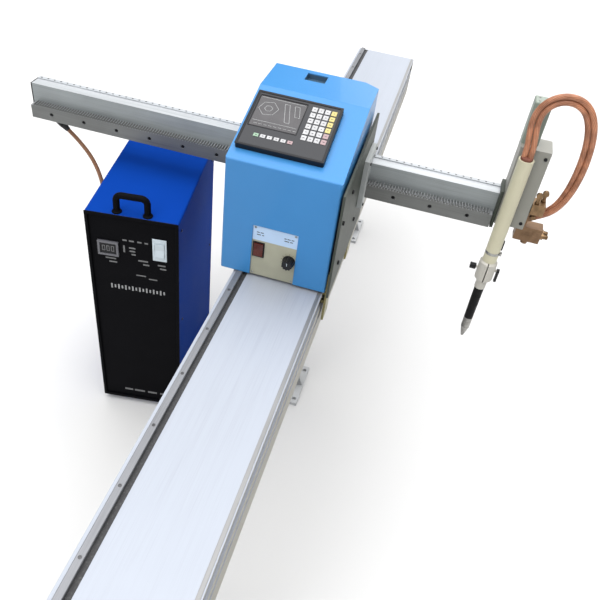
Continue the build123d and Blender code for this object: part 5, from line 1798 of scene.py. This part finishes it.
@dataclass
class Torch(Assembly):
    """The cutting torch: its tube, clamp, insulator and nozzle."""

    BODY = "torch"
    FINISHES = {
        "torch_tube": TORCH_PAINT,
        "torch_carrier": BASE_METAL,
        "torch_clamp": CLAMP_PAINT,
        "clamp_knob": KNOB_PLASTIC,
        "clamp_lever": KNOB_PLASTIC,
        "torch_insulator": INSULATOR,
        "torch_nozzle": NOZZLE_METAL,
    }

    grommet_profile: Profile = (
        (0.0146, -0.004), (0.0146, 0.001), (0.0152, 0.003),
        (0.0148, 0.006), (0.011, 0.008), (0.006, 0.0085),
    )
    band_rise: float = 0.026
    band: Pair = (0.0004, 0.008)
    band_house: Point = (0.006, 0.011, 0.009)
    # How far the band's house stands out of the tube and in front of its middle, and its rounding.
    house_out: float = 0.002
    house_front: float = 0.004
    house_edge: float = 0.0012
    grip: Point = (0.007, 0.03, 0.004)
    grip_rise: float = 0.055

    def build(self) -> None:
        """Model the torch's grommet, band and grip bar."""
        tube = Box.of("torch_tube")
        axis, radius = tube.middle, tube.reach(RIGHT)
        grommet = Bench.lathe("mouth_grommet", self.grommet_profile)
        Bench.settle(grommet, Matrix.Translation((axis.x, axis.y, tube.high.z)))
        self.put(grommet, COLLAR_RUBBER, "insulator_black")
        self.clamp_band(Vector((axis.x, axis.y, tube.low.z + self.band_rise)), radius)
        bar = Bench.block("torch_grip_bar", self.grip)
        Bench.ease(Bench.crown(bar, self.grip[0] / 5, self.grip[2] / 3), self.grip[2] / 6)
        side = Face(Vector((axis.x + radius, axis.y, tube.low.z + self.grip_rise)), RIGHT)
        self.put(Bench.settle(bar, side.matrix), BLACK_PLASTIC, "insulator_black")

    def clamp_band(self, foot: Vector, radius: float) -> None:
        """Model the steel band round the tube with its tightening screw.

        Args:
            foot: The middle of the band's lower edge.
            radius: The tube's radius.
        """
        proud, height = self.band
        inner, outer = radius - proud, radius + proud
        rings = [(inner, 0.0), (outer, 0.0), (outer, height), (inner, height)]
        band = Bench.lathe("band", rings, sides=48)
        middle = (radius + self.house_out, -self.house_front, height / 2)
        house = Bench.ease(Bench.block("band_house", self.band_house, middle), self.house_edge)
        band = Bench.join([band, house], "clamp_band")
        self.put(Bench.settle(band, Matrix.Translation(foot)), SCREW_ZINC, "nozzle_metal")


class FarEnd(Enum):
    """What a hose ends in."""

    OBJECT = "object"
    CONNECTOR = "connector"


class Stiffness(Enum):
    """How readily a hose bends."""

    MEDIUM = "medium"
    STIFF = "stiff"


@dataclass(frozen=True)
class Route:
    """One hose: what it shows, its size and ends, and the control points of the spline that it follows."""

    name: str
    node: str
    finish: Finish
    slot: str
    diameter: float
    length: float
    far_end: FarEnd
    stiffness: Stiffness
    # The bodies at its two ends, and where it leaves the first and joins the second.
    bodies: tuple[str, str]
    turn: tuple[Point, Point]
    points: tuple[Point, ...]
    sides: int = 20
    steps: int = 14

    def line(self) -> list[Vector]:
        """Read closely spaced points along the spline.

        Returns:
            The points from its first end to its last.
        """
        curve = bpy.data.curves.new(self.name, "CURVE")
        curve.dimensions = "3D"
        curve.resolution_u = self.steps
        spline = curve.splines.new("NURBS")
        spline.points.add(len(self.points) - 1)
        for control, place in zip(spline.points, self.points):
            control.co = (*place, 1.0)
        spline.order_u = 3
        spline.use_endpoint_u = True
        holder = bpy.data.objects.new(self.name, curve)
        bpy.context.scene.collection.objects.link(holder)
        bpy.context.view_layer.update()
        mesh = bpy.data.meshes.new_from_object(holder)
        line = [vertex.co.copy() for vertex in mesh.vertices]
        bpy.data.objects.remove(holder)
        bpy.data.curves.remove(curve)
        bpy.data.meshes.remove(mesh)
        return line

    def tube(self, line: Sequence[Vector]) -> Piece:
        """Make a closed tube along a line, with a UV map round and along it.

        Args:
            line: The points that it follows.

        Returns:
            The tube.
        """
        ways = [(after - before).normalized() for before, after in zip(line, line[1:])]
        ways.append(ways[-1])
        side = ways[0].orthogonal().normalized()
        angles = [2 * math.pi * step / self.sides for step in range(self.sides)]
        vertices: list[Vector] = []
        for place, way in zip(line, ways):
            side = (side - way * side.dot(way)).normalized()
            other = way.cross(side)
            for angle in angles:
                spoke = side * math.cos(angle) + other * math.sin(angle)
                vertices.append(place + spoke * self.diameter / 2)
        rings = [list(range(first, first + self.sides)) for first in range(0, len(vertices), self.sides)]
        faces: list[Sequence[int]] = []
        for near, far in zip(rings, rings[1:]):
            faces += zip(near, near[1:] + near[:1], far[1:] + far[:1], far)
        mesh = bpy.data.meshes.new(self.name)
        mesh.from_pydata(vertices, [], [*faces, rings[0][::-1], rings[-1]])
        self.lay_map(mesh, line)
        piece = bpy.data.objects.new(self.name, mesh)
        bpy.context.scene.collection.objects.link(piece)
        return Bench.smooth(piece)

    def lay_map(self, mesh: bpy.types.Mesh, line: Sequence[Vector]) -> None:
        """Write the UV map: turns round the tube, and metres along it.

        Args:
            mesh: The tube's mesh, side faces first.
            line: The points that it follows.
        """
        reach = [0.0]
        for before, after in zip(line, line[1:]):
            reach.append(reach[-1] + (after - before).length)
        layer = mesh.uv_layers.new(name="hose_map")
        side_faces = (len(line) - 1) * self.sides
        for index, face in enumerate(mesh.polygons):
            for corner, loop in enumerate(face.loop_indices):
                if index < side_faces:
                    ring, step = divmod(index, self.sides)
                    around = (step + (corner in (1, 2))) / self.sides
                    along = reach[ring + (corner in (2, 3))]
                else:
                    around, along = 0.0, reach[0 if index == side_faces else -1]
                layer.data[loop].uv = (around, along)


@dataclass
class Hoses(Assembly):
    """The two torch hoses with their ferrules, and the supply lead with its boot and its coupling."""

    BODY = "beam_arm"
    # Where the hoses leave the torch and where they reach the hose block.
    HOSE_TURN = ((0.5274, -0.041, 1.049), (0.6474, -0.041, 0.959))
    # Where the lead leaves the beam's end and where it reaches the carriage.
    LEAD_TURN = ((-0.7517, 0.022, 0.7969), (-0.715, 0.0195, 0.7655))

    outer: Route = Route(
        "torch_hose_outside", "torch_hose_outer", HOSE_COVER, "hose_orange", 0.014, 0.644,
        FarEnd.OBJECT, Stiffness.STIFF, ("torch", "beam_arm"), HOSE_TURN, (
            (0.5126, -0.041, 1.049), (0.5126, -0.041, 1.085), (0.5068, -0.0405, 1.1215),
            (0.5012, -0.04, 1.1571), (0.5055, -0.039, 1.1906), (0.5245, -0.0375, 1.2177),
            (0.554, -0.036, 1.2327), (0.5872, -0.034, 1.2316), (0.6159, -0.0315, 1.2144),
            (0.6359, -0.0285, 1.185), (0.6494, -0.025, 1.1457), (0.6576, -0.02, 1.0995),
            (0.6606, -0.0168, 1.0509), (0.6587, -0.0115, 1.0023), (0.6514, -0.0045, 0.9561),
            (0.6368, 0.0031, 0.9179), (0.61423, 0.0086, 0.89314), (0.59039, 0.0086, 0.88046),
        ),
    )
    inner: Route = replace(
        outer, name="torch_hose_inside", node="torch_hose_inner", length=0.596, points=(
            (0.5274, -0.041, 1.049), (0.5274, -0.041, 1.086), (0.5214, -0.0405, 1.1237),
            (0.516, -0.04, 1.1573), (0.5193, -0.039, 1.1853), (0.5342, -0.0375, 1.2065),
            (0.5572, -0.036, 1.2183), (0.583, -0.034, 1.2174), (0.6062, -0.0315, 1.2042),
            (0.6232, -0.0285, 1.1787), (0.6358, -0.025, 1.1422), (0.6436, -0.02, 1.0978),
            (0.6473, -0.0124, 1.0505), (0.6474, -0.0033, 1.0031), (0.6433, 0.0069, 0.9579),
            (0.633, 0.0164, 0.92), (0.61423, 0.0234, 0.89314), (0.59039, 0.0234, 0.88046),
        ),
    )
    lead: Route = Route(
        "supply_hose", "supply_lead", LEAD_SKIN, "lead_orange", 0.012, 0.961,
        FarEnd.CONNECTOR, Stiffness.MEDIUM, ("beam_arm", "carriage"), LEAD_TURN, (
            (-0.76702, 0.022, 0.80972), (-0.74097, 0.022, 0.78786), (-0.712, 0.019, 0.7625),
            (-0.683, 0.013, 0.734), (-0.66, 0.007, 0.698), (-0.644, 0.0, 0.654),
            (-0.635, -0.006, 0.601), (-0.631, -0.011, 0.538), (-0.629, -0.014, 0.468),
            (-0.628, -0.015, 0.396), (-0.6285, -0.014, 0.324), (-0.629, -0.01, 0.254),
            (-0.63, -0.003, 0.188), (-0.631, 0.009, 0.128), (-0.6315, 0.027, 0.078),
            (-0.631, 0.054, 0.04), (-0.6295, 0.09, 0.018), (-0.628, 0.134, 0.0113),
            (-0.6275, 0.177, 0.0113),
        ),
    )
    ferrule_profile: Profile = (
        (0.0072, 0.0), (0.0079, 0.0005), (0.0079, 0.0035), (0.0075, 0.004), (0.0075, 0.0065),
        (0.0079, 0.007), (0.0079, 0.0105), (0.0071, 0.011),
    )
    boot_profile: Profile = (
        (0.0095, 0.0), (0.0095, 0.003), (0.0088, 0.0035), (0.0088, 0.007), (0.0083, 0.0075),
        (0.0083, 0.011), (0.0078, 0.0115), (0.0078, 0.015), (0.0072, 0.0155), (0.0072, 0.019),
        (0.0064, 0.02),
    )
    coupling_profile: Profile = (
        (0.0075, 0.0), (0.0095, 0.002), (0.0095, 0.008), (0.011, 0.0085), (0.011, 0.013),
        (0.0104, 0.0135), (0.0104, 0.015), (0.011, 0.0155), (0.011, 0.03), (0.0098, 0.034),
        (0.008, 0.034), (0.008, 0.038), (0.0072, 0.0385), (0.0072, 0.041), (0.008, 0.0415),
        (0.0074, 0.0453), (0.005, 0.0453), (0.005, 0.03),
    )

    def build(self) -> None:
        self.hose(self.outer)
        self.hose(self.inner)
        self.ferrules()
        self.hose(self.lead, [self.boot(), self.coupling()])

    def hose(self, route: Route, with_pieces: Sequence[Piece] = ()) -> None:
        """Args:
            route: The hose's route.
            with_pieces: The pieces on it. Not used.
        """
        line = route.line()
        hose = route.tube(line)
        self.shop.coat(hose, route.finish)
        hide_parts(route.node)
        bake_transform(hose)
        LOG.info("hose %s bends between %s and %s", hose.name, *route.bodies)

    def ferrules(self) -> None:
        """Model the crimped ferrule on the lower end of each torch hose."""
        places = []
        for route in (self.outer, self.inner):
            before, end = (Vector(point) for point in route.points[-2:])
            places.append(Face(end, before - end).matrix)
        self.fit("hose_ferrules", Bench.lathe("ferrule", self.ferrule_profile), places, BRASS, "hose_block")

    def boot(self) -> Piece:
        """Model the tapered, ribbed boot on the beam's gland.

        Returns:
            The boot.
        """
        start, after = (Vector(point) for point in self.lead.points[:2])
        boot = Bench.settle(Bench.lathe("lead_boot", self.boot_profile), Face(start, after - start).matrix)
        return self.put(boot, FOOT_RUBBER, "cap_black")

    def coupling(self) -> Piece:
        """Model the turned coupling on the lead's far end.

        Returns:
            The coupling.
        """
        before, end = (Vector(point) for point in self.lead.points[-2:])
        coupling = Bench.lathe("lead_coupling", self.coupling_profile)
        Bench.settle(coupling, Face(end, end - before).matrix)
        self.put(coupling, BRASS, "cap_black", "carriage")
        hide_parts("lead_connector")
        return coupling


@dataclass
class PowerUnit(Assembly):
    """The power unit beside the rail: its bezel, meter, printed marks, louvres and handle feet."""

    BODY = "rail"
    FINISHES = {
        "unit_case": UNIT_PAINT,
        "unit_front": UNIT_PLASTIC,
        "unit_meter": GREY_PLASTIC,
        "unit_switch": WHITE_PLASTIC,
        "unit_handle": UNIT_PLASTIC,
        "unit_feet": FOOT_RUBBER,
    }

    corner: Point = (-0.547, -0.277, 0.0)
    turn: float = math.radians(8.4)
    size: Point = (0.256, 0.44, 0.74)
    floor_gap: float = 0.02
    bezel_border: Pair = (0.009, 0.004)
    panel_recess: float = 0.002
    meter_centre: Pair = (0.058, 0.644)
    meter_window: Point = (0.0455, 0.0355, 0.0008)
    meter_floor: float = 0.003
    digits: int = 3
    digit: Pair = (0.0085, 0.018)
    digit_pitch: float = 0.0125
    digit_line: Pair = (0.0019, 0.0004)
    switch_centre: Pair = (0.202, 0.662)
    switch_frame: Pair = (0.0395, 0.074)
    switch_border: Pair = (0.006, 0.0024)
    switch_cap: Point = (0.0275, 0.0085, 0.003)
    dashes: tuple[Dash, ...] = (
        (62, 608, 30, 5), (68, 596, 22, 5), (105, 678, 12, 5), (124, 678, 14, 5), (146, 678, 12, 5),
        (165, 678, 10, 5), (102, 648, 5, 24), (125, 654, 18, 5), (125, 643, 16, 5), (128, 632, 12, 5),
        (154, 614, 28, 5), (162, 602, 18, 5), (206, 608, 22, 5), (210, 596, 18, 5), (146, 560, 28, 4),
        (180, 552, 24, 4), (84, 58, 26, 8), (120, 58, 34, 8), (162, 58, 30, 8), (198, 58, 20, 8),
    )
    scale_start: Pair = (0.058, 0.506)
    scale_ticks: int = 16
    scale_pitch: float = 0.0102
    scale_tick: Point = (0.0045, 0.017, 0.0003)
    # Shares of a tick's height, taken in turn.
    tick_heights: Pair = (1.0, 0.65)
    louvre_count: int = 9
    louvre_pitch: float = 0.022
    louvre_height: float = 0.46
    louvre: Point = (0.122, 0.011, 0.005)
    # What a hood's upper edge keeps of its length, height and depth, and its lift as a share of its height.
    louvre_lip: Point = (0.92, 1.0, 0.05)
    louvre_lift: float = 0.35
    handle_centre: Pair = (0.127, 0.015)
    handle_span: float = 0.084
    handle_foot: Profile = (
        (0.0135, 0.0), (0.0135, 0.003), (0.0122, 0.0045),
        (0.0108, 0.0055), (0.0098, 0.008), (0.007, 0.008),
    )
    outlets: Profile = ((0.07, 0.16), (0.13, 0.16), (0.19, 0.16))
    outlet_radius: float = 0.016
    case_head: Pair = (0.0042, 0.0022)
    case_inset: Pair = (0.03, 0.04)

    def way(self, across: float, depth: float, height: float = 0.0) -> Vector:
        """Give a step of the turned unit in the machine's frame."""
        return Matrix.Rotation(self.turn, 3, "Z") @ Vector((across, depth, height))

    def place(self, across: float, depth: float, height: float) -> Vector:
        """Give a point of the turned unit in the machine's frame."""
        return Vector(self.corner) + self.way(across, depth, height)

    @property
    def front(self) -> Face:
        """Give the front panel's face, with its origin at the left on the floor."""
        return Face(self.place(0.0, self.panel_recess, 0.0), self.way(0.0, -1.0))

    def build(self) -> None:
        """Model the unit's bezel, meter, switch frame, marks, louvres, outlets, screws and handle feet."""
        self.bezel()
        self.meter()
        self.switch_surround()
        self.marks()
        self.louvres()
        self.handle_feet()
        self.rear_outlets()
        self.case_screws()

    def bezel(self) -> None:
        """Model the black moulded frame round the front."""
        width, _, height = self.size
        frame = Bench.frame("unit_bezel", (width, height), *self.bezel_border)
        Bench.settle(frame, self.front.at(width / 2, self.floor_gap + height / 2, self.panel_recess))
        self.put(frame, UNIT_PLASTIC, "unit_black")

    def meter(self) -> None:
        """Model the meter's dark glass and its row of noughts."""
        glass = Hardware.bar(self.meter_window, "meter_window")
        Bench.settle(glass, self.front.at(*self.meter_centre, self.meter_floor))
        self.put(glass, METER_GLASS, "meter_grey")
        across, up = self.meter_centre
        out = self.meter_floor + self.meter_window[2]
        places = [self.front.at(across + step, up, out) for step in centred(self.digits, self.digit_pitch)]
        nought = Bench.frame("nought", self.digit, *self.digit_line)
        self.fit("meter_digits", nought, places, FAINT_PRINT, "meter_grey")

    def switch_surround(self) -> None:
        """Model the pale housing round the unit's switch."""
        frame = Bench.frame("frame", self.switch_frame, *self.switch_border)
        _, height, depth = self.switch_cap
        spread = self.switch_frame[1] - 2 * self.switch_border[0] - height
        cap = Bench.ease(Bench.block("cap", self.switch_cap, (0.0, 0.0, depth / 2)), depth / 4)
        caps = Bench.repeat(cap, [Matrix.Translation(BACK * step) for step in centred(2, spread)], "caps")
        housing = Bench.join([frame, caps], "unit_switch_surround")
        Bench.settle(housing, self.front.at(*self.switch_centre))
        self.put(housing, WHITE_PLASTIC, "meter_grey")

    def marks(self) -> None:
        """Model the plain printed dashes on the front and the row of ticks across it."""
        self.put(Hardware.dashes("unit_marks", self.front, self.dashes), FAINT_PRINT, "unit_black")
        across, up = self.scale_start
        places = [
            self.front.at(across + step * self.scale_pitch, up) @ Matrix.Scale(share, 4, BACK)
            for step, share in zip(range(self.scale_ticks), cycle(self.tick_heights))
        ]
        self.fit("unit_scale", Hardware.bar(self.scale_tick), places, PRINT, "unit_black")

    def louvres(self) -> None:
        """Model the pressed hoods over the slots on the left side of the case."""
        _, height, depth = self.louvre
        hood = Bench.block("hood", self.louvre, (0.0, 0.0, depth / 2))
        with Bench.edit(hood):
            Bench.select_faces(hood, lambda place, normal: normal.y > Bench.FACING)
            bpy.ops.transform.resize(value=self.louvre_lip, center_override=(0.0, 0.0, 0.0))
        Bench.ease(hood, depth / 8)
        face = Face(self.place(0.0, self.size[1] / 2, self.louvre_height), self.way(-1.0, 0.0))
        lift = height * self.louvre_lift
        places = [face.at(0.0, step + lift) for step in centred(self.louvre_count, self.louvre_pitch)]
        self.fit("unit_louvres", hood, places, UNIT_PAINT, "unit_blue")

    def handle_feet(self) -> None:
        """Model the collar at each foot of the carrying handle."""
        across, depth = self.handle_centre
        top = self.floor_gap + self.size[2]
        feet = [self.place(across + step, depth, top) for step in centred(2, self.handle_span)]
        collar = Bench.lathe("collar", self.handle_foot, sides=28)
        self.fit("handle_collars", collar, map(Matrix.Translation, feet), UNIT_PLASTIC, "unit_black")

    def rear_outlets(self) -> None:
        """Model the row of round outlets on the case's back."""
        back = self.way(0.0, 1.0)
        places = [Face(self.place(across, self.size[1], up), back).matrix for across, up in self.outlets]
        self.fit("unit_outlets", Hardware.outlet(self.outlet_radius), places, UNIT_PLASTIC, "unit_black")

    def case_screws(self) -> None:
        """Model the screws down both sides of the case, near its front and its back."""
        width, run, height = self.size
        inset, rise = self.case_inset
        places = []
        for side, across in ((-1.0, 0.0), (1.0, width)):
            for depth in (inset, run - inset):
                face = Face(self.place(across, depth, self.floor_gap), self.way(side, 0.0))
                places += [face.at(0.0, level) for level in (rise, height / 2, height - rise)]
        self.fit("unit_case_screws", Hardware.button(*self.case_head), places, SCREW_BLACK, "unit_blue")


@dataclass
class Studio:
    """The pale floor, the soft light and the camera."""

    lens: float = 41.63
    camera_place: Point = (0.2972, -1.6285, 1.859)
    camera_turn: Point = (48.118, 7.357, 14.899)
    view_depth: float = 100.0
    floor_size: float = 40.0
    floor_colour: Colour = (0.55, 0.55, 0.55)
    floor_shades: Pair = (0.99, 1.0)
    floor_cloud: Grain = Grain(0.6)
    floor_roughness: float = 0.9
    horizon: float = 0.15
    zenith: float = 4.4
    # How far up a direction points where the sky starts to brighten, and where it is brightest.
    brightening: Pair = (0.5, 1.0)
    backdrop: float = 1.1
    aim: Point = (0.0, 0.0, 0.85)
    # Name, place, size and power of each lamp.
    lamps: tuple[tuple[str, Point, float, float], ...] = (
        ("key_light", (-1.5, -4.0, 3.2), 3.0, 78.0),
        ("rear_light", (0.6, 4.0, 2.6), 2.5, 40.0),
    )

    def build(self) -> None:
        """Set the whole stage."""
        self.camera()
        self.floor()
        self.sky()
        self.light()

    def camera(self) -> None:
        """Place the camera."""
        data = bpy.data.cameras.new("camera")
        data.lens = self.lens
        data.clip_end = self.view_depth
        camera = bpy.data.objects.new("camera", data)
        camera.location = self.camera_place
        camera.rotation_mode = "ZYX"
        camera.rotation_euler = tuple(math.radians(angle) for angle in self.camera_turn)
        bpy.context.scene.collection.objects.link(camera)
        bpy.context.scene.camera = camera

    def floor(self) -> None:
        """Lay the plain pale floor."""
        Bench.clear()
        bpy.ops.mesh.primitive_plane_add(size=self.floor_size)
        floor = Bench.take("floor")
        surface = Surface("floor_paint")
        colour = surface.mottle(self.floor_colour, self.floor_shades, surface.noise(self.floor_cloud))
        paint = surface.shade({"Base Color": colour, "Roughness": self.floor_roughness})
        floor.data.materials.append(paint)

    def sky(self) -> None:
        """Set a sky that is bright overhead and dim at its rim, in front of a white backdrop."""
        world = bpy.data.worlds.new("sky")
        world.use_nodes = True
        graph = Graph(world.node_tree)
        height = graph.part(graph.node("ShaderNodeTexCoord", output="Generated"), Axis.Z)
        glow = self.horizon + (self.zenith - self.horizon) * height.ramp(*self.brightening)
        seen = graph.node("ShaderNodeLightPath", output="Is Camera Ray")
        strength = seen * self.backdrop + (1.0 - seen) * glow
        sky = graph.node("ShaderNodeBackground", None, {"Color": WHITE, "Strength": strength})
        graph.end("ShaderNodeOutputWorld", sky.socket)
        bpy.context.scene.world = world
        bpy.context.scene.view_settings.view_transform = "Standard"

    def light(self) -> None:
        """Hang the soft lamps."""
        for name, place, size, power in self.lamps:
            data = bpy.data.lights.new(name, "AREA")
            data.shape = "DISK"
            data.size = size
            data.energy = power
            lamp = bpy.data.objects.new(name, data)
            lamp.location = place
            lamp.rotation_euler = (Vector(self.aim) - Vector(place)).to_track_quat("-Z", "Y").to_euler()
            bpy.context.scene.collection.objects.link(lamp)


def main() -> None:
    """Load the frame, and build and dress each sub-assembly."""
    logging.basicConfig(level=logging.INFO, format="%(message)s")
    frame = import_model()
    Studio().build()
    shop = Workshop(frame["nodes"])
    for kind in (Hoses, Rail, Carriage, Console, Beam, Lifter, Torch, PowerUnit):
        assembly = kind(shop)
        assembly.dress()
        assembly.build()
    Bench.clear()


if __name__ == "__main__":
    main()
